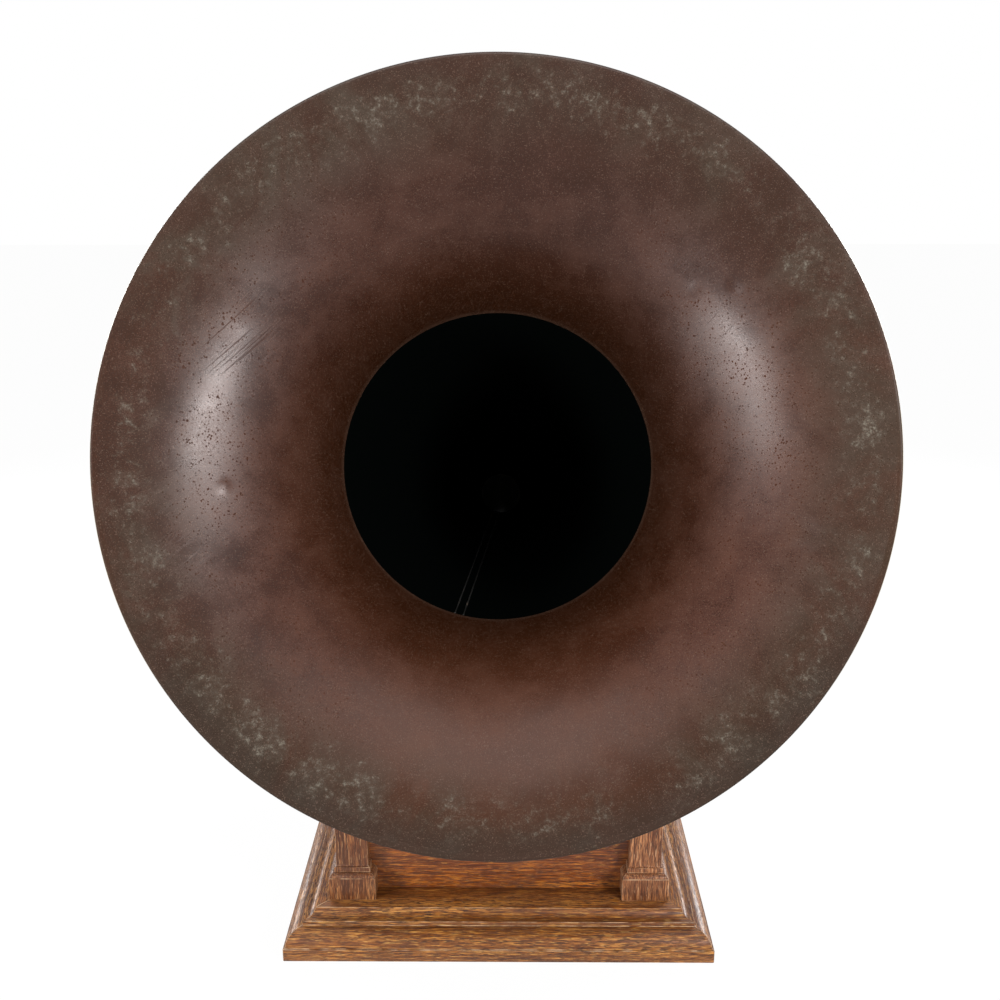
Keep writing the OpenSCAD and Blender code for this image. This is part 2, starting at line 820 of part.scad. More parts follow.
module motor_bottom_plate() {
    color("slategray") difference() {
        plate(base_z);
        plate_holes(base_z, spindle_r);
    }
}

module motor_pillars() {
    color("silver") for (p = pillars) translate([p[0], p[1], base_z + plate_t]) difference() {
        cylinder(r = pillar_r, h = plate_span);
        translate([0, 0, -1]) cylinder(r = bolt_r, h = plate_span + 2);
    }
}

// Each bolt runs from the board's top through its pillar to a nut under the lower plate
module motor_bolts() {
    color("gainsboro") for (p = pillars) translate([p[0], p[1], 0]) {
        translate([0, 0, base_z]) cylinder(r = bolt_r, h = top_z - base_z);
        translate([0, 0, top_z - bolt_r]) cylinder(r = 2 * bolt_r, h = bolt_r);
        translate([0, 0, base_z - 1.6 * bolt_r]) cylinder(r = 1.9 * bolt_r, h = 1.6 * bolt_r, $fn = 6);
    }
}

module governor_brackets() {
    drop = plate_z - worm_z + gov_bracket_w / 2;
    color("slategray") for (y = [gov_back_y, gov_front_y - gov_bracket_t]) difference() {
        translate([gov_x - gov_bracket_w / 2, y, plate_z - drop]) cube([gov_bracket_w, gov_bracket_t, drop]);
        translate([gov_x, y - 1, worm_z]) rotate([-90, 0, 0])
            cylinder(r = gov_r + run_gap, h = gov_bracket_t + 2);
    }
}

// Hangs from the upper plate and carries the crank's shaft behind its pinion
module crank_bearing() {
    wall = 5;
    length = 8;
    near = barrel_x + crown_r + crown_face / 2 + 2;
    half = crank_r + wall;
    drop = plate_z - crank_z + half;
    color("slategray") difference() {
        translate([near, -half, plate_z - drop]) cube([length, 2 * half, drop]);
        translate([near - 1, 0, crank_z]) rotate([0, 90, 0]) cylinder(r = crank_r + run_gap, h = length + 2);
    }
}

module turntable_platter() {
    color("silver") translate([0, 0, platter_z]) rotate_extrude() difference() {
        translate([spindle_r, 0]) square([platter_r - spindle_r, platter_h]);
        translate([hub_r, -1]) square([platter_r - platter_t - hub_r, platter_h - platter_t + 1]);
    }
}

module turntable_felt() {
    color("darkgreen") translate([0, 0, felt_z]) difference() {
        cylinder(r = platter_r - felt_margin, h = felt_t);
        translate([0, 0, -1]) cylinder(r = spindle_r + end_gap, h = felt_t + 2);
    }
}

module spindle() {
    color("gainsboro") {
        translate([0, 0, base_z]) cylinder(r = spindle_r, h = record_z - base_z);
        translate([0, 0, record_z]) cylinder(r = pin_r, h = pin_h - pin_r);
        translate([0, 0, record_z + pin_h - pin_r]) intersection() {
            sphere(pin_r);
            cylinder(r = pin_r, h = pin_r);
        }
        translate([0, 0, mid_wheel_z - 2]) linear_extrude(gear_t + 4)
            rotate(mesh_turn) gear_2d(spindle_teeth, mid_mod);
    }
}

module worm_wheel() {
    color("burlywood") translate([0, 0, worm_z - gear_t / 2]) rotate(180)
        gear(worm_teeth, worm_mod, spindle_r);
}

module spring_barrel() {
    color("lightslategray") translate([barrel_x, 0, barrel_z]) difference() {
        cylinder(r = barrel_r, h = barrel_h);
        translate([0, 0, -1]) cylinder(r = barrel_r - barrel_t, h = barrel_h - barrel_t + 1);
        cylinder(r = arbor_r + run_gap, h = barrel_h + 1);
    }
}

module barrel_gear() {
    color("goldenrod") translate([barrel_x, 0, barrel_gear_z]) rotate(barrel_turn)
        gear(barrel_teeth, barrel_mod, arbor_r + run_gap);
}

module barrel_cover() {
    color("lightslategray") translate([barrel_x, 0, barrel_z]) difference() {
        cylinder(r = barrel_r - barrel_t, h = barrel_t);
        translate([0, 0, -1]) cylinder(r = arbor_r + run_gap, h = barrel_t + 2);
    }
}

module mainspring() {
    color("darkslategray") translate([barrel_x, 0, barrel_z + barrel_t]) difference() {
        cylinder(r = barrel_r - barrel_t, h = barrel_h - 2 * barrel_t);
        translate([0, 0, -1]) cylinder(r = arbor_r + end_gap, h = barrel_h);
    }
}

module barrel_arbor() {
    color("gainsboro") translate([barrel_x, 0, base_z])
        cylinder(r = arbor_r, h = board_z - end_gap - base_z);
}

// Crown gear: a disc whose teeth stand up to meet the crank's pinion
module crown_gear() {
    outer = crown_r + crown_face / 2;
    tooth_w = PI * wind_mod * tooth_share * 0.85;
    color("goldenrod") translate([barrel_x, 0, 0]) difference() {
        union() {
            translate([0, 0, crown_floor_z - crown_t]) cylinder(r = outer, h = crown_t);
            for (i = [0:crown_teeth - 1]) rotate((i + 0.5) * 360 / crown_teeth)
                translate([crown_r - crown_face / 2, -tooth_w / 2, crown_floor_z - 1])
                    cube([crown_face - 0.4, tooth_w, 1 + 2 * wind_mod]);
        }
        translate([0, 0, barrel_gear_z]) cylinder(r = arbor_r, h = plate_z - barrel_gear_z);
    }
}

module intermediate_arbor() {
    color("gainsboro") translate([mid_x, mid_y, 0]) {
        translate([0, 0, base_z]) cylinder(r = mid_arbor_r, h = board_z - end_gap - base_z);
        translate([0, 0, barrel_gear_z - 2]) rotate(pinion_turn) linear_extrude(gear_t + 4)
            gear_2d(mid_pinion_teeth, barrel_mod);
    }
}

module intermediate_wheel() {
    color("goldenrod") translate([mid_x, mid_y, mid_wheel_z]) rotate(wheel_turn)
        gear(mid_teeth, mid_mod, mid_arbor_r);
}

// Winding

module crank_shaft() {
    start = barrel_x + crown_r - crown_face / 2;
    color("gainsboro") translate([start, 0, crank_z]) rotate([0, 90, 0])
        cylinder(r = crank_r, h = crank_x + crank_arm_t - start);
}

module crank_pinion() {
    color("goldenrod") translate([barrel_x + crown_r - crown_face / 2, 0, crank_z]) rotate([0, 90, 0])
        linear_extrude(crown_face) difference() {
            gear_2d(crank_teeth, wind_mod);
            circle(crank_r);
        }
}

// Flat bar with two round ends, standing straight up from the shaft, and the pin of its knob
module crank_arm() {
    w = crank_arm_w;
    color("gainsboro") translate([crank_x, 0, crank_z]) rotate([0, 90, 0]) {
        difference() {
            linear_extrude(crank_arm_t) {
                circle(w / 2);
                translate([-crank_l, 0]) circle(w / 2);
                translate([-crank_l, -w / 2]) square([crank_l, w]);
            }
            translate([0, 0, -1]) cylinder(r = crank_r, h = crank_arm_t + 2);
        }
        translate([-crank_l, 0, crank_arm_t]) {
            cylinder(r = knob_r / 4, h = knob_l + 2 * end_gap);
            translate([0, 0, knob_l + 2 * end_gap]) cylinder(r = knob_r / 2, h = knob_washer_t);
        }
    }
}

// Turned wooden knob, fuller towards its free end
module crank_knob() {
    steps = 16;
    grow = function(t) knob_r * (0.62 + 0.38 * pow(sin(180 * pow(t, 1.6)), 1.2));
    color("saddlebrown") translate([crank_x + crank_arm_t + end_gap, 0, crank_z + crank_l])
        rotate([0, 90, 0]) rotate_extrude() difference() {
            polygon(concat([[0, 0]], [for (i = [0:steps]) [grow(i / steps), knob_l * i / steps]],
                [[0, knob_l]]));
            translate([0, -1]) square([knob_r / 4 + run_gap, knob_l + 2]);
        }
}

// Governor

module at_governor() {
    translate([gov_x, 0, worm_z]) rotate([-90, 0, 0]) children();
}

module governor_spindle() {
    color("gainsboro") at_governor() translate([0, 0, gov_front_y - gov_bracket_t])
        cylinder(r = gov_r, h = gov_l + 2 * gov_bracket_t);
}

// One-start worm, a sleeve on the governor's spindle
module governor_worm() {
    pitch = PI * worm_mod;
    turns = worm_l / pitch;
    half_root = 180 * tooth_share * 1.15;
    half_tip = 180 * tooth_share * 0.55;
    root_r = worm_r - tooth_root * worm_mod;
    tip_r = worm_r + tooth_tip * worm_mod;
    radius = function(a) abs(a) <= half_tip ? tip_r
        : abs(a) >= half_root ? root_r
        : tip_r - (tip_r - root_r) * (abs(a) - half_tip) / (half_root - half_tip);
    color("gainsboro") at_governor() translate([0, 0, -worm_l / 2])
        linear_extrude(worm_l, twist = -360 * turns, slices = ceil(turns * 14), $fn = 18) difference() {
            rotate(180 * turns) polygon([for (a = [-180:20:160]) radius(a) * [cos(a), sin(a)]]);
            circle(gov_r + end_gap, $fn = 14);
        }
}

module governor_weights() {
    color("goldenrod") at_governor() for (turn = gov_angles) rotate(turn)
        translate([weight_orbit, 0, weight_y]) sphere(weight_r);
}

// Leaf springs from the collar, past a weight, to the sliding disc's hub
module governor_springs() {
    back = -worm_wheel_r;
    color("slategray") at_governor() {
        for (turn = gov_angles) rotate(turn)
            translate([leaf_flat, -leaf_w / 2, disc_y + disc_t])
                cube([leaf_t, leaf_w, back - disc_y - disc_t]);
        translate([0, 0, back - hub_l]) difference() {
            cylinder(r = leaf_flat / cos(30), h = hub_l, $fn = 6);
            translate([0, 0, -1]) cylinder(r = gov_r, h = hub_l + 2);
        }
    }
}

module governor_disc() {
    color("goldenrod") at_governor() translate([0, 0, disc_y]) difference() {
        union() {
            cylinder(r = disc_r, h = disc_t);
            cylinder(r = leaf_flat / cos(30), h = disc_t + hub_l, $fn = 6);
        }
        translate([0, 0, -1]) cylinder(r = gov_r, h = disc_t + hub_l + 2);
    }
}

// Controls on the motor board

// The lever turns on a pin in the board; its felt-faced pad lies against the platter's skirt
module brake_lever() {
    toward = atan2(-brake_at[1], -brake_at[0]);
    pad_reach = norm(brake_at) - platter_r - brake_gap;
    color("silver") translate([brake_at[0], brake_at[1], top_z]) {
        translate([0, 0, -board_t]) cylinder(r = screw_r, h = board_t + end_gap);
        translate([0, 0, end_gap]) rotate(toward) {
            linear_extrude(brake_t) {
                circle(brake_w / 2);
                translate([0, -brake_w / 2]) square([pad_reach - brake_pad / 2, brake_w]);
                translate([-brake_w / 2, 0]) mirror([0, 1]) square([brake_w, brake_l]);
                translate([0, -brake_l]) circle(brake_w / 2);
            }
            translate([pad_reach - brake_pad, -brake_w / 2, 0])
                cube([brake_pad, brake_w, platter_gap + platter_h / 2]);
            translate([0, -brake_l, 0]) cylinder(r = brake_w / 3, h = brake_peg_h);
        }
    }
}

// Knob and stem through the board, and the lever below whose finger leans on the governor's disc
module speed_regulator() {
    lever_t = 4;
    lever_z = plate_z - 2 * lever_t;
    finger = [5.5, 3];
    finger_at = [gov_x - gov_r - finger[0] - finger[0], disc_y - end_gap - finger[1]];
    run = finger_at + finger / 2 - regulator_at;
    color("silver") {
        translate([regulator_at[0], regulator_at[1], lever_z]) {
            cylinder(r = regulator_stem_r, h = top_z + end_gap + 1 - lever_z);
            rotate(atan2(run[1], run[0])) translate([0, -finger[1], 0])
                cube([norm(run), 2 * finger[1], lever_t]);
        }
        translate([regulator_at[0], regulator_at[1], top_z + end_gap])
            cylinder(r = regulator_r, h = regulator_h);
        translate([finger_at[0], finger_at[1], worm_z - finger[1]])
            cube([finger[0], finger[1], lever_z + lever_t - worm_z + finger[1]]);
    }
}

// Tonearm and soundbox

module tonearm() {
    front = arm_l - arm_front_r;
    leg_top = ledge_z + end_gap + nut_h;
    color("silver") at_arm() difference() {
        union() {
            translate([0, 0, arm_z + arm_bend_r]) cylinder(r = arm_r, h = leg_top - arm_z - arm_bend_r);
            translate([0, 0, ring_z - end_gap - collar]) cylinder(r = arm_r + collar, h = collar);
            translate([0, -arm_bend_r, arm_z + arm_bend_r]) rotate([90, 0, 90]) rotate(-90)
                rotate_extrude(angle = 90) translate([arm_bend_r, 0]) circle(arm_r);
            translate([0, -arm_bend_r, arm_z]) rotate([90, 0, 0])
                cylinder(r1 = arm_r, r2 = arm_tip_r, h = front - arm_bend_r);
            translate([-arm_front_r, -front, arm_z]) rotate(-90)
                rotate_extrude(angle = 90) translate([arm_front_r, 0]) circle(arm_tip_r);
            translate([-arm_front_r, -arm_l, arm_z]) rotate([0, -90, 0])
                cylinder(r = neck_r + socket_t, h = socket_l);
        }
        translate([0, 0, arm_z + arm_bend_r]) cylinder(r = arm_r - arm_t, h = leg_top);
        translate([0, -arm_bend_r, arm_z + arm_bend_r]) rotate([90, 0, 90]) rotate(-90)
            rotate_extrude(angle = 90) translate([arm_bend_r, 0]) circle(arm_r - arm_t);
        translate([0, -arm_bend_r, arm_z]) rotate([90, 0, 0])
            cylinder(r1 = arm_r - arm_t, r2 = arm_tip_r - arm_t, h = front - arm_bend_r);
        translate([-arm_front_r, -front, arm_z]) rotate(-90)
            rotate_extrude(angle = 90) translate([arm_front_r, 0]) circle(arm_tip_r - arm_t);
        translate([-arm_front_r, -arm_l, arm_z]) rotate([0, -90, 0])
            cylinder(r = neck_r + run_gap, h = socket_l + 1);
    }
}

module tonearm_nut() {
    color("goldenrod") at_arm() translate([0, 0, ledge_z + end_gap]) difference() {
        cylinder(r = spigot_r - 1, h = nut_h);
        translate([0, 0, -1]) cylinder(r = arm_r, h = nut_h + 2);
    }
}

module gooseneck() {
    start = -arm_front_r - end_gap;
    color("silver") at_arm() translate([0, -arm_l, arm_z]) difference() {
        union() {
            translate([start, 0, 0]) rotate([0, -90, 0]) cylinder(r = neck_r, h = start - neck_bend_x);
            translate([neck_bend_x, -neck_bend_r, 0]) rotate(90)
                rotate_extrude(angle = 180) translate([neck_bend_r, 0]) circle(neck_r);
            translate([neck_bend_x, -2 * neck_bend_r, 0]) rotate([0, 90, 0])
                cylinder(r = neck_r, h = neck_run);
        }
        translate([start + 1, 0, 0]) rotate([0, -90, 0])
            cylinder(r = neck_r - neck_t, h = start + 1 - neck_bend_x);
        translate([neck_bend_x, -neck_bend_r, 0]) rotate(90)
            rotate_extrude(angle = 180) translate([neck_bend_r, 0]) circle(neck_r - neck_t);
        translate([neck_bend_x, -2 * neck_bend_r, 0]) rotate([0, 90, 0])
            cylinder(r = neck_r - neck_t, h = neck_run + 1);
    }
}

module soundbox_shell() {
    color("silver") at_soundbox() difference() {
        cylinder(r = soundbox_r, h = shell_h);
        translate([0, 0, -1]) cylinder(r = neck_r - neck_t, h = shell_h);
        translate([0, 0, shell_h - chamber_h]) cylinder(r = soundbox_r - front_ring_w, h = chamber_h + 1);
    }
}

module diaphragm() {
    color("whitesmoke") at_soundbox() translate([0, 0, shell_h])
        cylinder(r = soundbox_r - seat_wall, h = diaphragm_t);
}

module soundbox_ring() {
    color("silver") at_soundbox() translate([0, 0, shell_h]) difference() {
        cylinder(r = soundbox_r, h = front_ring_h);
        translate([0, 0, -1]) cylinder(r = soundbox_r - front_ring_w, h = front_ring_h + 2);
        translate([0, 0, -1]) cylinder(r = soundbox_r - seat_wall, h = 1 + diaphragm_t);
    }
}

// Lever from the diaphragm's centre to the clamp block under the rim
module needle_bar() {
    color("gainsboro") at_soundbox() difference() {
        union() {
            translate([0, 0, shell_h + diaphragm_t]) cylinder(r = bar_r, h = bar_z - shell_h - diaphragm_t);
            translate([0, 0, bar_z]) sphere(bar_r);
            translate([0, 0, bar_z]) rotate([0, 90, 0]) cylinder(r = bar_r, h = soundbox_r + 2);
            translate([soundbox_r + end_gap, -chuck_w / 2, shell_h])
                cube([chuck_h, chuck_w, bar_z + 2 - shell_h]);
        }
        at_needle() translate([0, 0, -chuck_h * 2]) cylinder(r = needle_r, h = 4 * chuck_h);
        at_needle_screw() cylinder(r = bar_r, h = chuck_h);
    }
}

// The needle's frame: +Z runs from the tip up into the clamp block
module at_needle() {
    translate([soundbox_drop, -(soundbox_drop - soundbox_r - chuck_h / 2) * tan(needle_slope), bar_z - 1])
        rotate([0, -90, 0]) rotate([-needle_slope, 0, 0]) children();
}

module needle() {
    tip_l = needle_r * 5;
    color("gainsboro") at_soundbox() at_needle() {
        cylinder(r1 = needle_r / 8, r2 = needle_r, h = tip_l);
        translate([0, 0, tip_l]) cylinder(r = needle_r, h = needle_l - tip_l - 1);
    }
}

module at_needle_screw() {
    translate([soundbox_r + end_gap + chuck_h / 2, 0, bar_z]) children();
}

module needle_screw() {
    color("goldenrod") at_soundbox() at_needle_screw() {
        translate([0, 0, needle_r]) cylinder(r = bar_r, h = chuck_h / 2);
        translate([0, 0, chuck_h / 2]) cylinder(r = chuck_w / 2, h = chuck_h / 2);
    }
}

// Horn

module horn_bell() {
    centre = [throat_r + bell_r * cos(bell_slope), -bell_r * sin(bell_slope)];
    rim_way = [-cos(rim_slope), sin(rim_slope)];
    color("rosybrown") along_horn() translate([0, 0, bell_z]) rotate_extrude() {
        intersection() {
            translate(centre) ring_2d(bell_r, sheet_t, $fn = 360);
            polygon([[0, 0], [centre[0], 0], centre, centre + 2 * bell_r * rim_way, [0, 2 * bell_l]]);
        }
        translate(centre + (bell_r - rim_r) * rim_way) circle(rim_r);
    }
}

module horn_cone() {
    slope = atan2(throat_r - cone_r, cone_l);
    wall = sheet_t / cos(slope);
    ring_in = throat_r + wall - joint_ring_l * tan(slope);
    color("black") along_horn() translate([0, 0, stub_l]) rotate_extrude() {
        polygon([[cone_r, 0], [cone_r + wall, 0], [throat_r + wall, cone_l], [throat_r, cone_l]]);
        polygon([[cone_r, 0], [flange_r, 0], [flange_r, flange_h],
            [cone_r + flange_h * tan(slope), flange_h]]);
        polygon([[ring_in - sheet_t / 2, cone_l - joint_ring_l],
            [ring_in + joint_ring_h, cone_l - joint_ring_l],
            [throat_r + joint_ring_h, cone_l], [throat_r + sheet_t / 2, cone_l]]);
    }
}

module horn_elbow() {
    outer = cone_r + elbow_t;
    color("dimgray") {
        translate([0, pivot_y - elbow_r, elbow_z]) rotate([90, 0, 90])
            rotate_extrude(angle = 90 - horn_tilt) translate([elbow_r, 0]) ring_2d(outer, elbow_t);
        along_horn() rotate_extrude() {
            translate([cone_r, 0]) square([elbow_t, stub_l]);
            translate([cone_r, stub_l - flange_h]) square([flange_w, flange_h]);
            translate([outer - elbow_t / 2, -bead_h / 2]) square([elbow_t, bead_h]);
        }
        translate([0, pivot_y, shoulder_z]) rotate_extrude() {
            inner = spigot_r - elbow_t;
            translate([inner, 0]) square([outer - inner, shoulder_h]);
            translate([inner, -end_gap - spigot_l]) square([elbow_t, spigot_l + end_gap]);
            translate([outer - elbow_t / 2, shoulder_h - bead_h / 2]) square([elbow_t, bead_h]);
        }
    }
}

module horn_union() {
    color("goldenrod") along_horn() translate([0, 0, stub_l - flange_h]) rotate_extrude()
        translate([flange_r, 0]) square([union_wall, 2 * flange_h]);
}

plinth_mouldings();
bottom_board();
front_panel();
back_panel();
left_panel();
right_panel();
post_front_left();
post_front_right();
post_back_left();
post_back_right();
cornice_mouldings();
motor_board();
wood_screws();
crank_escutcheon();
needle_cups();
back_bracket();
bracket_screws();
clamp_screw();
motor_top_plate();
motor_bottom_plate();
motor_pillars();
motor_bolts();
governor_brackets();
crank_bearing();
turntable_platter();
turntable_felt();
spindle();
worm_wheel();
spring_barrel();
barrel_gear();
barrel_cover();
mainspring();
barrel_arbor();
crown_gear();
intermediate_arbor();
intermediate_wheel();
crank_shaft();
crank_pinion();
crank_arm();
crank_knob();
governor_spindle();
governor_worm();
governor_weights();
governor_springs();
governor_disc();
brake_lever();
speed_regulator();
tonearm();
tonearm_nut();
gooseneck();
soundbox_shell();
soundbox_ring();
diaphragm();
needle_bar();
needle();
needle_screw();
horn_bell();
horn_cone();
horn_elbow();
horn_union();
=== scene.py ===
import math

import bmesh
import bpy
from mathutils import Matrix, Vector, noise


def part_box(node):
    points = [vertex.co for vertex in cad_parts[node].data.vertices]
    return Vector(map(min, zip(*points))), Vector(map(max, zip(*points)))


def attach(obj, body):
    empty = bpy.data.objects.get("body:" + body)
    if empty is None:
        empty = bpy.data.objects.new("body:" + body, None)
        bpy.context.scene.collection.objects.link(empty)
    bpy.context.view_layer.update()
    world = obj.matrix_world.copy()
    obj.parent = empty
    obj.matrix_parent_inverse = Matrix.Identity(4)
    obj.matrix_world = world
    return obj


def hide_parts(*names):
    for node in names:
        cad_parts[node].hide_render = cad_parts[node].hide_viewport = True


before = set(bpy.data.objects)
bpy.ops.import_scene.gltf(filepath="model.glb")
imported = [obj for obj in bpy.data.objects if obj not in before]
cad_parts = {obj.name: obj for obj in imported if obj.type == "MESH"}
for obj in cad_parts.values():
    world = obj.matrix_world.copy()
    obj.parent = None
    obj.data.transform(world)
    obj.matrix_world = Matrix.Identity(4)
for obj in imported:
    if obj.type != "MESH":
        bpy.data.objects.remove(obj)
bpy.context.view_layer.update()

# Camera and studio. The camera stands in front of the horn's mouth and a little above it, and looks
# down on a white floor that runs into a white background. A tall soft light stands on each side, a
# broad one hangs overhead, and two weaker ones behind spill round the edges.
CAMERA_AT = (0.0100, -1.0510, 0.6850)
# The angles are in degrees, the lens and the sensor in millimetres.
CAMERA_YAW = 0.515
CAMERA_PITCH = 16.764
CAMERA_ROLL = -0.10
CAMERA_LENS = 41.73
CAMERA_SENSOR = 36.0
AMBIENT = 0.32
FLOOR_HALF = 8.0
FLOOR_DROP = 0.0003
FLOOR_GLOW = 0.97
PAPER = (0.88, 0.88, 0.88, 1)
WHITE = (1, 1, 1, 1)

scene = bpy.context.scene
scene.view_settings.view_transform = "Standard"
camera_data = bpy.data.cameras.new("photo_camera")
camera_data.lens = CAMERA_LENS
camera_data.sensor_width = CAMERA_SENSOR
camera = bpy.data.objects.new("photo_camera", camera_data)
camera.matrix_world = (Matrix.Translation(CAMERA_AT)
                       @ Matrix.Rotation(math.radians(CAMERA_YAW), 4, "Z")
                       @ Matrix.Rotation(math.radians(90 - CAMERA_PITCH), 4, "X")
                       @ Matrix.Rotation(math.radians(CAMERA_ROLL), 4, "Z"))
scene.collection.objects.link(camera)
scene.camera = camera


def feed(tree, node, inputs):
    """Sets inputs of a node, each to a number, a colour or another node's output."""
    for key, value in inputs.items():
        if isinstance(value, bpy.types.NodeSocket):
            tree.links.new(value, node.inputs[key])
        else:
            node.inputs[key].default_value = value


def add(tree, kind, inputs=None, **settings):
    """A new node of that kind, with its settings and inputs."""
    made = tree.nodes.new(kind)
    for name, value in settings.items():
        setattr(made, name, value)
    feed(tree, made, inputs or {})
    return made


def maths(tree, operation, a, b=0.0):
    return add(tree, "ShaderNodeMath", {0: a, 1: b}, operation=operation).outputs[0]


def times(tree, a, b):
    return maths(tree, "MULTIPLY", a, b)


def most(tree, a, b):
    return maths(tree, "MAXIMUM", a, b)


def background_rays(tree):
    """1 for the rays that see the white background: the camera's, and those in metal and glass."""
    path = add(tree, "ShaderNodeLightPath").outputs
    glossy = most(tree, path["Is Camera Ray"], path["Is Glossy Ray"])
    return most(tree, glossy, path["Is Transmission Ray"])


world = bpy.data.worlds.new("white_studio")
world.use_nodes = True
scene.world = world
tree = world.node_tree
strength = maths(tree, "ADD", times(tree, background_rays(tree), 1 - AMBIENT), AMBIENT)
feed(tree, tree.nodes["Background"], {"Color": WHITE, "Strength": strength})

floor_mesh = bpy.data.meshes.new("studio_floor")
floor_mesh.from_pydata([(x * FLOOR_HALF, y * FLOOR_HALF, -FLOOR_DROP)
                        for x, y in ((-1, -1), (1, -1), (1, 1), (-1, 1))], [], [(0, 1, 2, 3)])
floor = bpy.data.objects.new("studio_floor", floor_mesh)
scene.collection.objects.link(floor)
paper = bpy.data.materials.new("white_paper")
paper.use_nodes = True
tree = paper.node_tree
tree.nodes.remove(tree.nodes["Principled BSDF"])
matt = add(tree, "ShaderNodeBsdfDiffuse", {"Color": PAPER}).outputs[0]
glow = add(tree, "ShaderNodeEmission", {"Color": WHITE, "Strength": 1.0}).outputs[0]
share = times(tree, background_rays(tree), FLOOR_GLOW)
both = add(tree, "ShaderNodeMixShader", {0: share, 1: matt, 2: glow}).outputs[0]
feed(tree, tree.nodes["Material Output"], {"Surface": both})
floor_mesh.materials.append(paper)


def soft_light(name, at, aim, size, power):
    """A rectangular area light at one point, turned towards another."""
    data = bpy.data.lights.new(name, "AREA")
    data.shape = "RECTANGLE"
    data.size, data.size_y = size
    data.energy = power
    lamp = bpy.data.objects.new(name, data)
    lamp.location = at
    lamp.rotation_euler = (Vector(aim) - Vector(at)).to_track_quat("-Z", "Y").to_euler()
    scene.collection.objects.link(lamp)


soft_light("light_left", at=(-1.30, -1.14, 0.50), aim=(0.18, -0.23, 0.53), size=(0.36, 0.60), power=32.0)
soft_light("light_right", at=(1.35, -1.50, 0.90), aim=(-0.20, -0.25, 0.51), size=(0.44, 0.65), power=52.0)
soft_light("light_top", at=(0, -0.75, 1.75), aim=(0, -0.20, 0.35), size=(1.50, 1.00), power=18.0)
soft_light("light_back_left", at=(-1.30, 1.00, 0.80), aim=(0, -0.05, 0.25), size=(0.60, 0.80), power=20.0)
soft_light("light_back_right", at=(1.30, 1.00, 0.80), aim=(0, -0.05, 0.25), size=(0.60, 0.80), power=28.0)

# Plinth. Four lengths of solid oak, run with a quarter round, a fillet and a hollow, mitred at the
# corners and glued. The grain runs along each length, and the varnish is thin enough to show it.
PLINTH_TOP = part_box("plinth_mouldings")[1].z
PLINTH_STAIN = (0.43, 0.385, 0.26)
# Painted light: the plinth's top is painted paler, starting this far below it.
PLINTH_LIT_BAND = 0.0006
TOP_LIGHT_OVER = 0.0004
OAK_STEPS = [(0.41, (0.120, 0.033, 0.007)), (0.475, (0.300, 0.100, 0.022)),
             (0.53, (0.490, 0.192, 0.048)), (0.59, (0.840, 0.410, 0.130))]
OAK_FLECK = (1.0, 0.60, 0.24, 1)
OAK_PORE = (0.030, 0.010, 0.004, 1)
OAK_GRIME = (0.070, 0.026, 0.010, 1)
OAK_TOP_LIGHT = (1.08, 1.02, 0.86, 1)
OAK_RUBBED_GLINT = (0.50, 0.33, 0.20, 1)
OAK_RELIEF = 0.0003
GRAIN_TURNS = {"X": (0, 0, 0), "Y": (0, 0, math.pi / 2), "Z": (0, math.pi / 2, 0), "mitred": (0, 0, 0)}
SAME_POINT = 2e-6
FLAT_ANGLE = math.radians(0.4)
SHARP_ANGLE = math.radians(38)
CREASE_ANGLE = math.radians(24)


def vector_maths(tree, operation, a, b):
    return add(tree, "ShaderNodeVectorMath", {0: a, 1: b}, operation=operation).outputs[0]


def mix_colour(tree, factor, a, b, blend="MIX"):
    """a at factor 0 and b at 1. A Mix node's inputs 6 and 7, and its output 2, are the colours."""
    return add(tree, "ShaderNodeMix", {0: factor, 6: a, 7: b}, data_type="RGBA",
               blend_type=blend).outputs[2]


def mix_vector(tree, factor, a, b):
    """a at factor 0 and b at 1. A Mix node's inputs 4 and 5, and its output 1, are the vectors."""
    return add(tree, "ShaderNodeMix", {0: factor, 4: a, 5: b}, data_type="VECTOR").outputs[1]


def spread(tree, value, low, high, to=(0.0, 1.0)):
    """The value's range from low to high, eased and clamped to the new range."""
    ranges = {"Value": value, "From Min": low, "From Max": high, "To Min": to[0], "To Max": to[1]}
    return add(tree, "ShaderNodeMapRange", ranges, interpolation_type="SMOOTHSTEP").outputs["Result"]


def clouds(tree, vector, scale, detail=3.0, roughness=0.55, distortion=0.0):
    """Noise of so many clouds to the metre."""
    look = {"Vector": vector, "Scale": scale, "Detail": detail, "Roughness": roughness,
            "Distortion": distortion}
    return add(tree, "ShaderNodeTexNoise", look).outputs["Fac"]


def streaky(tree, vector, along, across, detail=3.0, roughness=0.55, distortion=0.0):
    """Clouds drawn out along X: so many per metre along it, and so many across it."""
    drawn = vector_maths(tree, "MULTIPLY", vector, (along, across, across))
    return clouds(tree, drawn, 1.0, detail, roughness, distortion)


def colour_steps(tree, value, steps):
    """The value turned to a colour by steps of (value, colour)."""
    ramp = add(tree, "ShaderNodeValToRGB", {"Fac": value})
    while len(ramp.color_ramp.elements) < len(steps):
        ramp.color_ramp.elements.new(0.5)
    for element, (place, colour) in zip(ramp.color_ramp.elements, steps):
        element.position = place
        element.color = (*colour, 1)
    return ramp.outputs["Color"]


def node_group(kind, name, inputs, outputs):
    """A Shader or Geometry group, the sockets it takes in and the node that it gives out by."""
    group = bpy.data.node_groups.new(name, kind + "NodeTree")
    for label, socket, *value in inputs:
        made = group.interface.new_socket(label, in_out="INPUT", socket_type="NodeSocket" + socket)
        if value:
            made.default_value = value[0]
    for label, socket in outputs:
        group.interface.new_socket(label, in_out="OUTPUT", socket_type="NodeSocket" + socket)
    return group, add(group, "NodeGroupInput").outputs, add(group, "NodeGroupOutput")


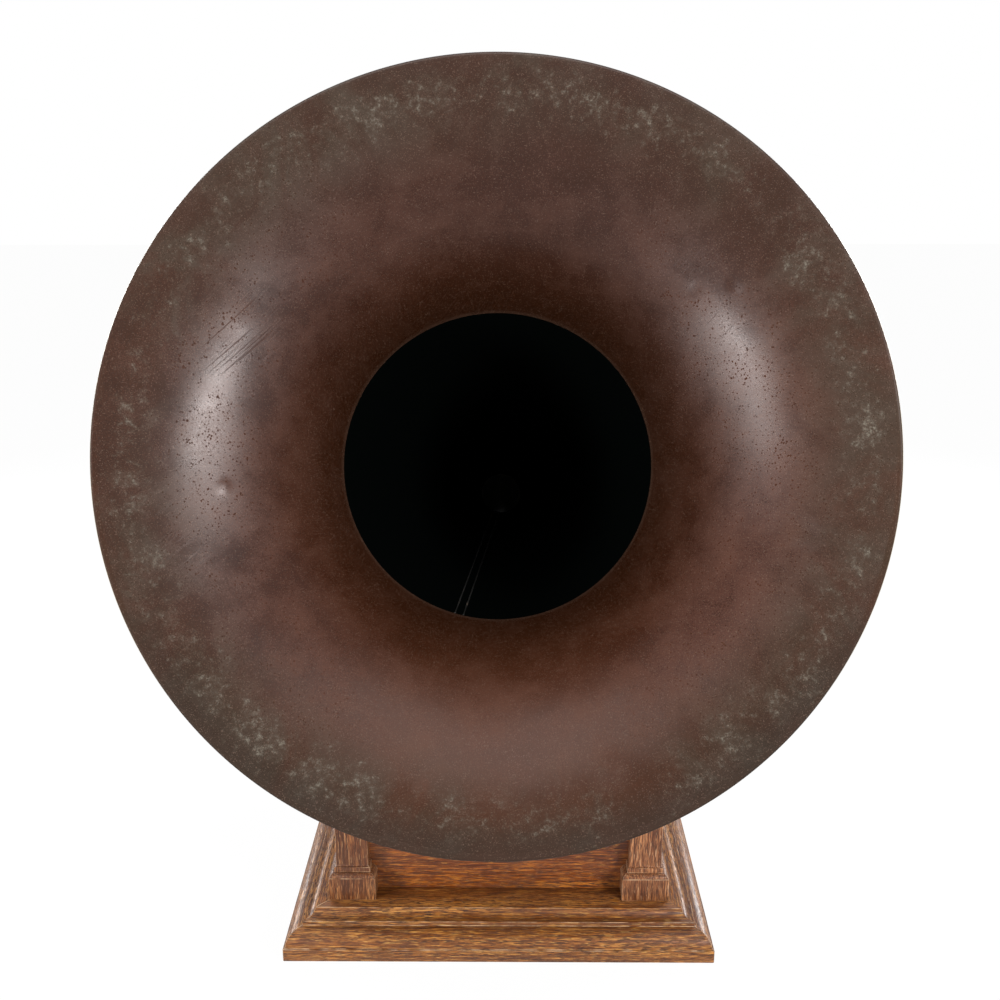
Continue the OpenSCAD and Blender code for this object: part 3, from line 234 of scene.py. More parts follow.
def finish_of(name, roughness=0.5, metallic=0.0, coat=0.0, coat_roughness=0.25, gloss=0.5):
    """A new material, its tree, its Principled shader and its Object coordinates."""
    made = bpy.data.materials.new(name)
    made.use_nodes = True
    tree = made.node_tree
    shader = tree.nodes["Principled BSDF"]
    feed(tree, shader, {"Roughness": roughness, "Metallic": metallic, "Coat Weight": coat,
                        "Coat Roughness": coat_roughness, "Specular IOR Level": gloss})
    return made, tree, shader, add(tree, "ShaderNodeTexCoord").outputs["Object"]


def relief(tree, shader, height, depth):
    """Lets a height of 0 to 1 stand out by that depth, in metres."""
    bump = add(tree, "ShaderNodeBump", {"Height": height, "Strength": 1.0, "Distance": depth})
    feed(tree, shader, {"Normal": bump.outputs["Normal"]})


oak_figure, taken, given = node_group(
    "Shader", "oak_figure",
    [("Vector", "Vector", (0, 0, 0)), ("Stain", "Color", WHITE), ("Seed", "Float", 0.0)],
    [("Color", "Color"), ("Roughness", "Float"), ("Height", "Float")])
tree = oak_figure
shifted = vector_maths(tree, "ADD", taken["Vector"], taken["Seed"])
figure = streaky(tree, shifted, 2.6, 42, detail=6, roughness=0.62, distortion=0.7)
streaks = streaky(tree, shifted, 36, 640, detail=4, roughness=0.72)
pores = streaky(tree, shifted, 120, 1300, detail=1.5)
flecks = streaky(tree, shifted, 90, 1000, detail=2)
early_wood = spread(tree, figure, 0.36, 0.60, to=(0.35, 1.0))
pore_mask = times(tree, spread(tree, pores, 0.495, 0.585), early_wood)
tone = maths(tree, "ADD", times(tree, figure, 0.38), times(tree, streaks, 0.62))
wood = colour_steps(tree, tone, OAK_STEPS)
wood = mix_colour(tree, spread(tree, flecks, 0.57, 0.68, to=(0.0, 0.60)), wood, OAK_FLECK)
wood = mix_colour(tree, 1.0, wood, taken["Stain"], "MULTIPLY")
wood = mix_colour(tree, times(tree, pore_mask, 0.9), wood, OAK_PORE)
feed(tree, given, {"Color": wood, "Roughness": spread(tree, pore_mask, 0, 1, to=(0.38, 0.72)),
                   "Height": maths(tree, "SUBTRACT", times(tree, streaks, 0.35), pore_mask)})


def oak(name, stain, seed, grain, lit_from=1.0):
    """Varnished oak, painted paler from a height up as painted light. The grain runs along an axis, or
    round a mitred frame.
    """
    made, tree, shader, place = finish_of(name, coat=0.16, gloss=0.28)
    xyz = add(tree, "ShaderNodeSeparateXYZ", {0: place}).outputs
    vector = add(tree, "ShaderNodeMapping", {"Vector": place, "Rotation": GRAIN_TURNS[grain]}).outputs[0]
    if grain == "mitred":
        swapped = add(tree, "ShaderNodeCombineXYZ", {0: xyz[1], 1: xyz[0], 2: xyz[2]}).outputs[0]
        from_middle = [maths(tree, "ABSOLUTE", xyz[axis]) for axis in (0, 1)]
        vector = mix_vector(tree, maths(tree, "GREATER_THAN", *from_middle), vector, swapped)
    figure = add(tree, "ShaderNodeGroup", {"Vector": vector, "Stain": (*stain, 1), "Seed": seed},
                 node_tree=oak_figure).outputs
    grime = spread(tree, clouds(tree, place, 22, detail=5, roughness=0.6), 0.42, 0.74, to=(0.0, 0.40))
    colour = mix_colour(tree, grime, figure["Color"], OAK_GRIME)
    # Painted light: paler from the given height up, so a top face looks more lit.
    top_lit = spread(tree, xyz[2], lit_from, lit_from + TOP_LIGHT_OVER)
    colour = mix_colour(tree, top_lit, colour, OAK_TOP_LIGHT, "MULTIPLY")
    # Paler along eased edges: partly rubbed wear, partly a painted highlight where the edges catch the
    # light.
    edge = add(tree, "ShaderNodeAttribute", attribute_name="edge_wear_glint").outputs["Fac"]
    rubbed_glint = times(tree, edge, spread(tree, clouds(tree, place, 70, detail=4), 0.38, 0.64, to=(0.0, 0.75)))
    colour = mix_colour(tree, rubbed_glint, colour, OAK_RUBBED_GLINT)
    feed(tree, shader, {"Base Color": colour, "Roughness": figure["Roughness"]})
    relief(tree, shader, figure["Height"], OAK_RELIEF)
    return made


def piece(name, mesh, body, slot, material, *nodes):
    """A piece that rides on a body and stands for the CAD nodes named, if any."""
    mesh.materials.clear()
    mesh.materials.append(material)
    made = bpy.data.objects.new(name, mesh)
    scene.collection.objects.link(made)
    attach(made, body)
    if nodes:
        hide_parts(*nodes)
    return made


def softened(node, body, slot, material, width, segments=2):
    """A merged copy of a CAD node with its sharp edges eased and marked, which stands for that node."""
    mesh = bpy.data.meshes.new(node + "_eased")
    shape = bmesh.new()
    shape.from_mesh(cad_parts[node].data)
    wear_glint = shape.faces.layers.float.new("edge_wear_glint")
    bmesh.ops.remove_doubles(shape, verts=shape.verts, dist=SAME_POINT)
    bmesh.ops.dissolve_limit(shape, angle_limit=FLAT_ANGLE, verts=shape.verts, edges=shape.edges)
    edges = [e for e in shape.edges if len(e.link_faces) == 2 and e.calc_face_angle() > SHARP_ANGLE]
    eased = bmesh.ops.bevel(shape, geom=edges, offset=width, segments=segments, profile=0.5,
                            affect="EDGES", clamp_overlap=True)
    # Marks the eased faces for the oak's paler edges: rubbed wear and a painted highlight.
    for face in eased["faces"]:
        face[wear_glint] = 1.0
    shape.to_mesh(mesh)
    shape.free()
    mesh.shade_smooth()
    mesh.set_sharp_from_angle(angle=CREASE_ANGLE)
    piece(node + "_eased", mesh, body, slot, material, node)


plinth_oak = oak("oak_plinth", PLINTH_STAIN, seed=0.0, grain="mitred", lit_from=PLINTH_TOP - PLINTH_LIT_BAND)
softened("plinth_mouldings", "case", "oak", plinth_oak, width=0.0010, segments=3)

# Bottom board. A plain pine board let in between the plinth's mouldings and glued there. It closes
# the case from below and was never varnished.
PINE_STEPS = [(0.35, (0.30, 0.17, 0.075)), (0.5, (0.46, 0.30, 0.15)), (0.65, (0.56, 0.40, 0.22))]


def dress(material, *nodes):
    """Gives CAD nodes that are shown as they are their material."""
    for node in nodes:
        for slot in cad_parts[node].material_slots:
            slot.material = material


bare_pine, tree, shader, place = finish_of("bare_pine", roughness=0.75)
bands = streaky(tree, place, 1.6, 38, detail=4, distortion=0.5)
feed(tree, shader, {"Base Color": colour_steps(tree, bands, PINE_STEPS)})
relief(tree, shader, bands, depth=0.0002)
dress(bare_pine, "bottom_board")

# Corner posts. Square oak pilasters with moulded base and cap, grooved on the inside for the panels
# and glued to the plinth. Their grain stands upright, and the stain has gone redder.
POSTS = {"post_front_left": ((0.35, 0.31, 0.35), 2.3), "post_front_right": ((0.41, 0.39, 0.53), 4.0),
         "post_back_left": ((0.35, 0.34, 0.46), 5.7), "post_back_right": ((0.38, 0.37, 0.52), 7.4)}
for post, (stain, seed) in POSTS.items():
    softened(post, "case", "oak", oak("oak_" + post, stain, seed, "Z"), width=0.0007)

# Panels. Four flat oak boards between the posts, with the grain level. They carry the bracket at the
# back and the crank's escutcheon on the right.
PANEL_STAIN = (0.37, 0.255, 0.11)
for panel, grain, seed in (("front_panel", "X", 11.3), ("back_panel", "X", 13.1),
                           ("left_panel", "Y", 15.7), ("right_panel", "Y", 17.9)):
    dress(oak("oak_" + panel, PANEL_STAIN, seed, grain), panel)

# Cornice. Four oak lengths with a hollow and a square top edge, mitred round the motor board and
# glued to the panels and the posts' caps.
cornice_oak = oak("oak_cornice", stain=(0.62, 0.59, 0.56), seed=21.0, grain="mitred")
softened("cornice_mouldings", "case", "oak", cornice_oak, width=0.0007)

# Motor board. The lid of the case, one wide oak board bored for the spindle, the cups and the
# controls, with the motor bolted under it.
board_oak = oak("oak_board", stain=(0.60, 0.56, 0.50), seed=24.4, grain="X")
softened("motor_board", "case", "oak", board_oak, width=0.0005)

# Wood screws. Slotted brass screws that hold down the board, the escutcheon and the bracket, gone
# brown in the slots and where fingers never reach.
metal_age, taken, given = node_group(
    "Shader", "metal_age",
    [("Vector", "Vector", (0, 0, 0)), ("Spot Size", "Float", 90.0), ("Seed", "Float", 0.0)],
    [("Tarnish", "Float"), ("Clouds", "Float"), ("Scratches", "Float")])
tree = metal_age
shifted = vector_maths(tree, "ADD", taken["Vector"], taken["Seed"])
spots = clouds(tree, shifted, taken["Spot Size"], detail=7, roughness=0.68)
drifts = clouds(tree, shifted, times(tree, taken["Spot Size"], 0.22), detail=4, roughness=0.6)
hairs = streaky(tree, shifted, 40, 1100, detail=2)
feed(tree, given, {"Tarnish": spread(tree, spots, 0.50, 0.68), "Clouds": drifts,
                   "Scratches": spread(tree, hairs, 0.60, 0.70)})


def aged_metal(name, bright, dull, smooth, rough, spot_size, seed):
    """Bare or plated metal that is bright where it is rubbed and dull in its spots."""
    made, tree, shader, place = finish_of(name, metallic=1.0)
    age = add(tree, "ShaderNodeGroup", {"Vector": place, "Spot Size": spot_size, "Seed": seed},
              node_tree=metal_age).outputs
    between = [0.5 * (b + d) for b, d in zip(bright, dull)]
    worn = mix_colour(tree, age["Clouds"], (*bright, 1), (*between, 1))
    colour = mix_colour(tree, times(tree, age["Tarnish"], 0.75), worn, (*dull, 1))
    grip = most(tree, age["Tarnish"], times(tree, age["Scratches"], 0.5))
    feed(tree, shader, {"Base Color": colour, "Roughness": spread(tree, grip, 0, 1, to=(smooth, rough))})
    relief(tree, shader, maths(tree, "ADD", age["Tarnish"], age["Scratches"]), depth=0.00003)
    return made


brass = aged_metal("aged_brass", bright=(0.56, 0.37, 0.13), dull=(0.16, 0.10, 0.045),
                   smooth=0.26, rough=0.60, spot_size=160.0, seed=3.0)
dress(brass, "wood_screws", "bracket_screws")

# Spring motor. Two enamelled iron plates on steel pillars hang from the board by four bolts. Between
# them run the barrel with its spring, the brass train and the spindle, all oiled and kept in the dark.
ENAMEL_STEPS = [(0.35, (0.085, 0.095, 0.10)), (0.65, (0.15, 0.16, 0.165))]
FIBRE_STEPS = [(0.35, (0.20, 0.055, 0.025)), (0.65, (0.34, 0.12, 0.055))]
steel = aged_metal("oiled_steel", bright=(0.50, 0.49, 0.47), dull=(0.20, 0.17, 0.14),
                   smooth=0.28, rough=0.55, spot_size=120.0, seed=7.0)
motor_enamel, tree, shader, place = finish_of("grey_enamel", coat=0.3)
pebble = clouds(tree, place, 420, detail=2)
feed(tree, shader, {"Base Color": colour_steps(tree, clouds(tree, place, 30, detail=4), ENAMEL_STEPS),
                    "Roughness": spread(tree, pebble, 0.3, 0.7, to=(0.38, 0.58))})
relief(tree, shader, pebble, depth=0.00015)
red_fibre, tree, shader, place = finish_of("red_fibre", roughness=0.6)
strands = streaky(tree, place, 220, 900)
feed(tree, shader, {"Base Color": colour_steps(tree, strands, FIBRE_STEPS)})
relief(tree, shader, strands, depth=0.00005)
dress(motor_enamel, "motor_top_plate", "motor_bottom_plate", "governor_brackets", "crank_bearing")
dress(steel, "motor_pillars", "motor_bolts", "spindle", "spring_barrel", "barrel_cover", "mainspring",
      "barrel_arbor", "intermediate_arbor", "governor_spindle", "governor_worm", "governor_springs")
dress(brass, "barrel_gear", "crown_gear", "intermediate_wheel", "crank_pinion", "governor_weights",
      "governor_disc")
dress(red_fibre, "worm_wheel")

# Turntable. A pressed steel platter, nickel plated, that drops over the spindle. Its top is covered
# by a disc of green felt, cut 3 mm short of the rim and glued down.
FELT_LOW, FELT_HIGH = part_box("turntable_felt")
FELT_R = FELT_HIGH.x
FELT_HOLE = 0.0043
FELT_EDGE = 0.0006
FELT_RINGS = 40
FELT_SEGMENTS = 128
FELT_DIP = 0.00025
FELT_DIPS_PER_M = 60
FELT_STEPS = [(0.35, (0.020, 0.055, 0.026)), (0.55, (0.036, 0.085, 0.040)), (0.72, (0.085, 0.115, 0.060))]
FELT_SHADE = (0.012, 0.030, 0.014, 1)
CLOSE_GAP = 1e-6
nickel = aged_metal("aged_nickel", bright=(0.66, 0.63, 0.57), dull=(0.30, 0.26, 0.20),
                    smooth=0.16, rough=0.46, spot_size=75.0, seed=1.0)
softened("turntable_platter", "turntable", "nickel", nickel, width=0.0008, segments=3)


def give_out(tree, given, geometry, finish):
    """Ends a geometry group: its instances made real and dressed in the finish."""
    real = add(tree, "GeometryNodeRealizeInstances", {"Geometry": geometry}).outputs[0]
    dressed = add(tree, "GeometryNodeSetMaterial", {"Geometry": real, "Material": finish}).outputs[0]
    feed(tree, given, {0: dressed})


lathe, taken, given = node_group(
    "Geometry", "lathe", [("Profile", "Geometry"), ("Segments", "Int"), ("Finish", "Material")],
    [("Turned", "Geometry")])
tree = lathe
count = add(tree, "GeometryNodeAttributeDomainSize", {"Geometry": taken["Profile"]}).outputs["Point Count"]
grid = add(tree, "GeometryNodeMeshGrid", {"Size X": 1.0, "Size Y": 1.0, "Vertices Y": count,
                                          "Vertices X": maths(tree, "ADD", taken["Segments"], 1.0)})
position = add(tree, "GeometryNodeInputPosition").outputs[0]
across = add(tree, "ShaderNodeSeparateXYZ", {0: position}).outputs
step = times(tree, maths(tree, "ADD", across[1], 0.5), maths(tree, "SUBTRACT", count, 1.0))
point = add(tree, "GeometryNodeSampleIndex", {"Geometry": taken["Profile"], "Value": position,
                                              "Index": maths(tree, "ROUND", step)},
            data_type="FLOAT_VECTOR").outputs["Value"]
drawn = add(tree, "ShaderNodeSeparateXYZ", {0: point}).outputs
turn = times(tree, maths(tree, "ADD", across[0], 0.5), math.tau)
ring = add(tree, "ShaderNodeCombineXYZ", {0: times(tree, drawn[0], maths(tree, "COSINE", turn)),
                                          1: times(tree, drawn[0], maths(tree, "SINE", turn)),
                                          2: drawn[2]}).outputs[0]
placed = add(tree, "GeometryNodeSetPosition", {"Geometry": grid.outputs["Mesh"], "Position": ring})
closed = add(tree, "GeometryNodeMergeByDistance", {"Geometry": placed.outputs[0], "Distance": CLOSE_GAP})
give_out(tree, given, closed.outputs[0], taken["Finish"])


def outward(mesh, sharp=30):
    """Closes a made mesh, turns its faces outwards and shades its curves smooth."""
    shape = bmesh.new()
    shape.from_mesh(mesh)
    bmesh.ops.remove_doubles(shape, verts=shape.verts, dist=CLOSE_GAP)
    bmesh.ops.recalc_face_normals(shape, faces=shape.faces)
    shape.to_mesh(mesh)
    shape.free()
    mesh.shade_smooth()
    mesh.set_sharp_from_angle(angle=math.radians(sharp))
    return mesh


def made_by(group, name, mesh, inputs):
    """The plain mesh that a geometry group makes of another, with the object that held it removed."""
    holder = bpy.data.objects.new(name, mesh)
    scene.collection.objects.link(holder)
    work = holder.modifiers.new(group.name, "NODES")
    work.node_group = group
    sockets = {item.name: item.identifier for item in group.interface.items_tree}
    for label, value in inputs.items():
        work[sockets[label]] = value
    made = bpy.data.meshes.new_from_object(holder.evaluated_get(bpy.context.evaluated_depsgraph_get()))
    bpy.data.objects.remove(holder)
    return outward(made)


def turned(name, profile, segments, material):
    """A mesh turned round Z from a closed profile of (radius, height) points, in metres."""
    line = bpy.data.meshes.new(name + "_profile")
    line.from_pydata([(r, 0, z) for r, z in profile + profile[:1]], [], [])
    return made_by(lathe, name + "_profile", line, {"Segments": segments, "Finish": material})


felt, tree, shader, place = finish_of("green_felt", roughness=0.95)
nap = clouds(tree, place, 1400, detail=4, roughness=0.7)
green = colour_steps(tree, clouds(tree, place, 14, detail=5, roughness=0.6), FELT_STEPS)
green = mix_colour(tree, spread(tree, nap, 0.35, 0.7, to=(0.0, 0.5)), green, FELT_SHADE)
feed(tree, shader, {"Base Color": green, "Sheen Weight": 0.10})
relief(tree, shader, nap, depth=0.0005)
top, low = FELT_HIGH.z, FELT_LOW.z
profile = [(FELT_HOLE, low), (FELT_HOLE, top - FELT_EDGE), (FELT_HOLE + FELT_EDGE, top)]
profile += [(FELT_HOLE + (FELT_R - FELT_HOLE) * i / FELT_RINGS, top) for i in range(1, FELT_RINGS)]
profile += [(FELT_R - FELT_EDGE, top), (FELT_R, top - FELT_EDGE), (FELT_R, low)]
felt_mesh = turned("felt", profile, FELT_SEGMENTS, felt)
for v in felt_mesh.vertices:
    if v.co.z > top - FELT_EDGE:
        v.co.z -= FELT_DIP * (0.5 + 0.5 * noise.noise(v.co * FELT_DIPS_PER_M))
felt_disc = piece("felt_disc", felt_mesh, "turntable", "felt", felt, "turntable_felt")

# Winding crank. A steel shaft comes out of the right side through a nickel escutcheon; a flat nickelled
# arm is keyed to it, and a turned hardwood knob runs free on the arm's pin, black from handling.
KNOB_LOW, KNOB_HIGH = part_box("crank_knob")
KNOB_L = KNOB_HIGH.x - KNOB_LOW.x
KNOB_R = 0.013
KNOB_NECK = 0.62
KNOB_SWELL_AT = 1.6
KNOB_SWELL_ROUND = 1.2
KNOB_BORE = 0.0033
KNOB_GROOVES = (0.10, 0.155)
KNOB_GROOVE_HALF = 0.022
KNOB_GROOVE_DEPTH = 0.0010
KNOB_END_SHARE = 0.02
KNOB_END_DROP = 0.0012
KNOB_STEPS = 60
KNOB_SEGMENTS = 64
KNOB_BROWNS = [(0.35, (0.018, 0.008, 0.005)), (0.55, (0.060, 0.026, 0.014)), (0.70, (0.110, 0.052, 0.026))]
softened("crank_escutcheon", "case", "nickel", nickel, width=0.0007, segments=3)
softened("crank_arm", "crank", "nickel", nickel, width=0.0010, segments=3)
dress(nickel, "crank_shaft")
knob_wood, tree, shader, place = finish_of("knob_wood", coat=0.5)
fibres = streaky(tree, place, 26, 420, detail=4, roughness=0.6)
feed(tree, shader, {"Base Color": colour_steps(tree, fibres, KNOB_BROWNS),
                    "Roughness": spread(tree, fibres, 0.3, 0.7, to=(0.38, 0.24))})
relief(tree, shader, fibres, depth=0.00006)


def knob_radius(t):
    """The knob's radius at the share t of its length: a pear, with two grooves and rounded ends."""
    swell = max(0.0, math.sin(math.pi * t ** KNOB_SWELL_AT)) ** KNOB_SWELL_ROUND
    body = KNOB_R * (KNOB_NECK + (1 - KNOB_NECK) * swell)
    groove = sum(max(0.0, 1 - abs(t - g) / KNOB_GROOVE_HALF) for g in KNOB_GROOVES)
    end = max(0.0, 1 - min(t, 1 - t) / KNOB_END_SHARE) ** 2
    return body - KNOB_GROOVE_DEPTH * groove - KNOB_END_DROP * end


profile = [(KNOB_BORE, 0.0)]
profile += [(knob_radius(i / KNOB_STEPS), KNOB_L * i / KNOB_STEPS) for i in range(KNOB_STEPS + 1)]
profile += [(KNOB_BORE, KNOB_L)]
knob_mesh = turned("knob", profile, KNOB_SEGMENTS, knob_wood)
knob_mesh.transform(Matrix.Translation((KNOB_LOW.x, 0, (KNOB_LOW.z + KNOB_HIGH.z) / 2))
                    @ Matrix.Rotation(math.pi / 2, 4, "Y"))
piece("turned_knob", knob_mesh, "knob", "knob_wood", knob_wood, "crank_knob")

# Controls on the board. A nickelled brake lever with its pad, a knurled speed knob, and two pressed
# cups for needles let into the back corners.
REGULATOR_AT = (-0.101, -0.101)
REGULATOR_R = 0.009
REGULATOR_Z = (0.1772, 0.1824)
REGULATOR_RIDGES = 60
RIDGE_WIDTH = 0.72
RIDGE_HEIGHT = 0.55
softened("brake_lever", "brake", "nickel", nickel, width=0.0005)
softened("speed_regulator", "regulator", "nickel", nickel, width=0.0006)
softened("needle_cups", "case", "nickel", nickel, width=0.0006, segments=3)

spaced, taken, given = node_group(
    "Geometry", "spaced_round",
    [("Item", "Geometry"), ("Count", "Int"), ("Radius", "Float"), ("Finish", "Material")],
    [("Ring", "Geometry")])
tree = spaced
ring = add(tree, "GeometryNodeMeshCircle", {"Vertices": taken["Count"], "Radius": taken["Radius"]},
           fill_type="NONE").outputs[0]
spot = add(tree, "ShaderNodeSeparateXYZ", {0: add(tree, "GeometryNodeInputPosition").outputs[0]}).outputs
facing = add(tree, "ShaderNodeCombineXYZ", {2: maths(tree, "ARCTAN2", spot[1], spot[0])}).outputs[0]
facing = add(tree, "FunctionNodeEulerToRotation", {0: facing}).outputs[0]
set_out = add(tree, "GeometryNodeInstanceOnPoints", {"Points": ring, "Instance": taken["Item"],
                                                     "Rotation": facing}).outputs[0]
give_out(tree, given, set_out, taken["Finish"])


def ring_of(name, item, count, radius, material):
    """A mesh of that item repeated round Z."""
    return made_by(spaced, name, item, {"Count": count, "Radius": radius, "Finish": material})


def knurl(name, body, slot, material, radius, length, count, place):
    """Straight knurling: three-sided ridges round the edge of a screw or knob, set a little into it."""
    half = RIDGE_WIDTH * math.pi * radius / count
    rim = [(-half, -half), (RIDGE_HEIGHT * half, 0.0), (-half, half)]
    ends = [(x, y, z) for z in (0.0, length) for x, y in rim]
    ridge = bpy.data.meshes.new(name + "_ridge")
    ridge.from_pydata(ends, [], [(0, 2, 1), (3, 4, 5), (0, 1, 4, 3), (1, 2, 5, 4), (2, 0, 3, 5)])
    mesh = ring_of(name, ridge, count, radius, material)
    mesh.transform(place)
    piece(name, mesh, body, slot, material)


knurl("regulator_knurl", "regulator", "nickel", nickel, REGULATOR_R, REGULATOR_Z[1] - REGULATOR_Z[0],
      REGULATOR_RIDGES, Matrix.Translation((*REGULATOR_AT, REGULATOR_Z[0])))

# Back bracket. One iron casting, black japanned: a foot screwed to the back panel, a bowed arm, and
# the ring that carries the tonearm below and the horn above, with a knurled clamp screw in its side.
CLAMP_LOW, CLAMP_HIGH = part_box("clamp_screw")
CLAMP_R = (CLAMP_HIGH.z - CLAMP_LOW.z) / 2
CLAMP_AXIS = (CLAMP_HIGH.y + CLAMP_LOW.y) / 2, (CLAMP_HIGH.z + CLAMP_LOW.z) / 2
CLAMP_KNURL_L = 0.0036
CLAMP_KNURL_BACK = 0.0043
CLAMP_RIDGES = 56
JAPAN = (0.0085, 0.0080, 0.0075, 1)
JAPAN_CHIPPED = (0.045, 0.034, 0.026, 1)
black_japan, tree, shader, place = finish_of("black_japan", coat=0.35)
age = add(tree, "ShaderNodeGroup", {"Vector": place, "Spot Size": 55.0, "Seed": 5.0},
          node_tree=metal_age).outputs
chips = spread(tree, times(tree, age["Tarnish"], age["Clouds"]), 0.30, 0.62)
feed(tree, shader, {"Base Color": mix_colour(tree, chips, JAPAN, JAPAN_CHIPPED),
                    "Roughness": spread(tree, age["Clouds"], 0.3, 0.7, to=(0.24, 0.44))})
orange_peel = clouds(tree, place, 260, detail=2)
relief(tree, shader, orange_peel, depth=0.00012)
softened("back_bracket", "case", "black_japan", black_japan, width=0.0018, segments=3)
softened("clamp_screw", "case", "nickel", nickel, width=0.0006)
knurl("clamp_knurl", "case", "nickel", nickel, CLAMP_R, CLAMP_KNURL_L, CLAMP_RIDGES,
      Matrix.Translation((CLAMP_HIGH.x - CLAMP_KNURL_BACK, *CLAMP_AXIS))
      @ Matrix.Rotation(math.pi / 2, 4, "Y"))

# Tonearm. A drawn brass tube, nickel plated: its upright leg turns in the bracket's ring and is kept
# there by a brass nut; the gooseneck plugs into its front socket and folds back to change the needle.
dress(nickel, "tonearm", "gooseneck")
dress(brass, "tonearm_nut")

# Soundbox. A nickelled shell and front ring hold a mica diaphragm between them, drawn up by three small
# screws. A steel bar from its centre carries the clamp block, the needle and its thumb screw.
ARM_PIVOT = (0, 0.205, 0)
ARM_TURN = math.radians(40)
SOUNDBOX_AT = (-0.0178, -0.207, 0.233)
SOUNDBOX_PLACE = (Matrix.Translation(ARM_PIVOT) @ Matrix.Rotation(ARM_TURN, 4, "Z")
                  @ Matrix.Translation(SOUNDBOX_AT) @ Matrix.Rotation(math.pi / 2, 4, "Y"))
SOUNDBOX_FRONT = 0.014
RING_SCREWS = 3
RING_SCREWS_AT = 0.02175
RING_SCREWS_TURN = math.radians(60)
RING_SCREW_R = 0.0016
RING_SCREW_H = 0.0010
RING_SCREW_SLOT = 0.16
HALF_ROUND_STEPS = 10
NEEDLE_SCREW_AT = (0.0283, 0, 0.0195)
NEEDLE_SCREW_R = 0.003
NEEDLE_KNURL_L = 0.0032
NEEDLE_RIDGES = 24
MICA_STEPS = [(0.35, (0.50, 0.44, 0.33)), (0.65, (0.78, 0.74, 0.64))]
softened("soundbox_shell", "soundbox", "nickel", nickel, width=0.0009, segments=3)
softened("soundbox_ring", "soundbox", "nickel", nickel, width=0.0008, segments=3)
softened("needle_bar", "soundbox", "nickel", nickel, width=0.0003)
dress(steel, "needle")
dress(brass, "needle_screw")
mica, tree, shader, place = finish_of("mica", roughness=0.22)
flakes = streaky(tree, place, 60, 140, detail=5, roughness=0.65)
feed(tree, shader, {"Base Color": colour_steps(tree, flakes, MICA_STEPS),
                    "Alpha": spread(tree, flakes, 0.3, 0.7, to=(0.62, 0.86))})
relief(tree, shader, flakes, depth=0.00004)
dress(mica, "diaphragm")


def slotted_head(name, radius, height):
    """A cheese-head screw's head: two half rounds with the slot between them."""
    start = math.asin(RING_SCREW_SLOT)
    arc = [start + (math.pi - 2 * start) * i / HALF_ROUND_STEPS for i in range(HALF_ROUND_STEPS + 1)]
    corners, faces = [], []
    for side in (1, -1):
        base = len(corners)
        outline = [(radius * math.cos(a) * side, radius * math.sin(a) * side) for a in arc]
        corners += [(x, y, z) for z in (0.0, height) for x, y in outline]
        n = len(outline)
        faces += [tuple(base + i for i in reversed(range(n))), tuple(base + n + i for i in range(n))]
        faces += [(base + i, base + (i + 1) % n, base + n + (i + 1) % n, base + n + i) for i in range(n)]
    mesh = bpy.data.meshes.new(name)
    mesh.from_pydata(corners, [], faces)
    return mesh


screw_head = slotted_head("ring_screw", RING_SCREW_R, RING_SCREW_H)
ring_screws = ring_of("soundbox_screws", screw_head, RING_SCREWS, RING_SCREWS_AT, steel)
ring_screws.transform(SOUNDBOX_PLACE @ Matrix.Translation((0, 0, SOUNDBOX_FRONT))
                      @ Matrix.Rotation(RING_SCREWS_TURN, 4, "Z"))
piece("soundbox_screws", ring_screws, "soundbox", "steel", steel)
knurl("needle_screw_knurl", "soundbox", "brass", brass, NEEDLE_SCREW_R, NEEDLE_KNURL_L, NEEDLE_RIDGES,
      SOUNDBOX_PLACE @ Matrix.Translation(NEEDLE_SCREW_AT))

# Horn, elbow and cone. Sheet iron rolled to a cone and lapped along one seam, black japanned inside and
# out, with a flange at its small end that a brass union ring draws against the cast elbow.
HORN_AT = (0.0, 0.181313, 0.321229)
HORN_TILT = 20.0
HORN_TURN = math.radians(90 - HORN_TILT)
HORN_PLACE = Matrix.Translation(HORN_AT) @ Matrix.Rotation(HORN_TURN, 4, "X")
CONE_Z = (0.006, 0.365)
CONE_R = (0.021, 0.122)
CONE_TAPER = (CONE_R[1] - CONE_R[0]) / (CONE_Z[1] - CONE_Z[0])
CONE_WALL = 0.0012466
CONE_STEPS = 24
CONE_SEGMENTS = 160
CONE_BORE_SHADE = (0.0007, 0.0010, 0.0009, 1)
CONE_OUTSIDE = (0.0090, 0.0085, 0.0080, 1)
FLANGE_R, FLANGE_Z = 0.026, 0.009
JOINT_R = (0.12428, 0.125)
JOINT_Z = (0.358, 0.365)
JOINT_EDGE = 0.0005
SEAM_ANGLE = math.radians(-104.3)
SEAM_HALF = 0.0034
SEAM_RIDGE = 0.0007
SEAM_LIFT = 0.0006
SEAM_SUNK = 0.0002
SEAM_SECTION = ((-1, 0), (-0.5, 1), (0.5, 1), (1, 0))
# The seam inside and outside: where it starts and ends, its depth in the wall, how far it stands out.
SEAM_SIDES = ((0.012, 0.364, SEAM_SUNK, -SEAM_LIFT), (0.011, 0.357, CONE_WALL - SEAM_SUNK, SEAM_LIFT))


def cone_radius(z):
    """The radius of the cone's bore at that height along the horn."""
    return CONE_R[0] + CONE_TAPER * (z - CONE_Z[0])


def in_horn(tree, place):
    """The place in the horn's own frame, its X, Y and Z there, and its distance from the horn's axis."""
    vector = add(tree, "ShaderNodeMapping", {"Vector": place, "Location": HORN_AT,
                                             "Rotation": (HORN_TURN, 0, 0)},
                 vector_type="TEXTURE").outputs[0]
    xyz = add(tree, "ShaderNodeSeparateXYZ", {0: vector}).outputs
    squares = maths(tree, "ADD", times(tree, xyz[0], xyz[0]), times(tree, xyz[1], xyz[1]))
    return vector, xyz, maths(tree, "SQRT", squares)


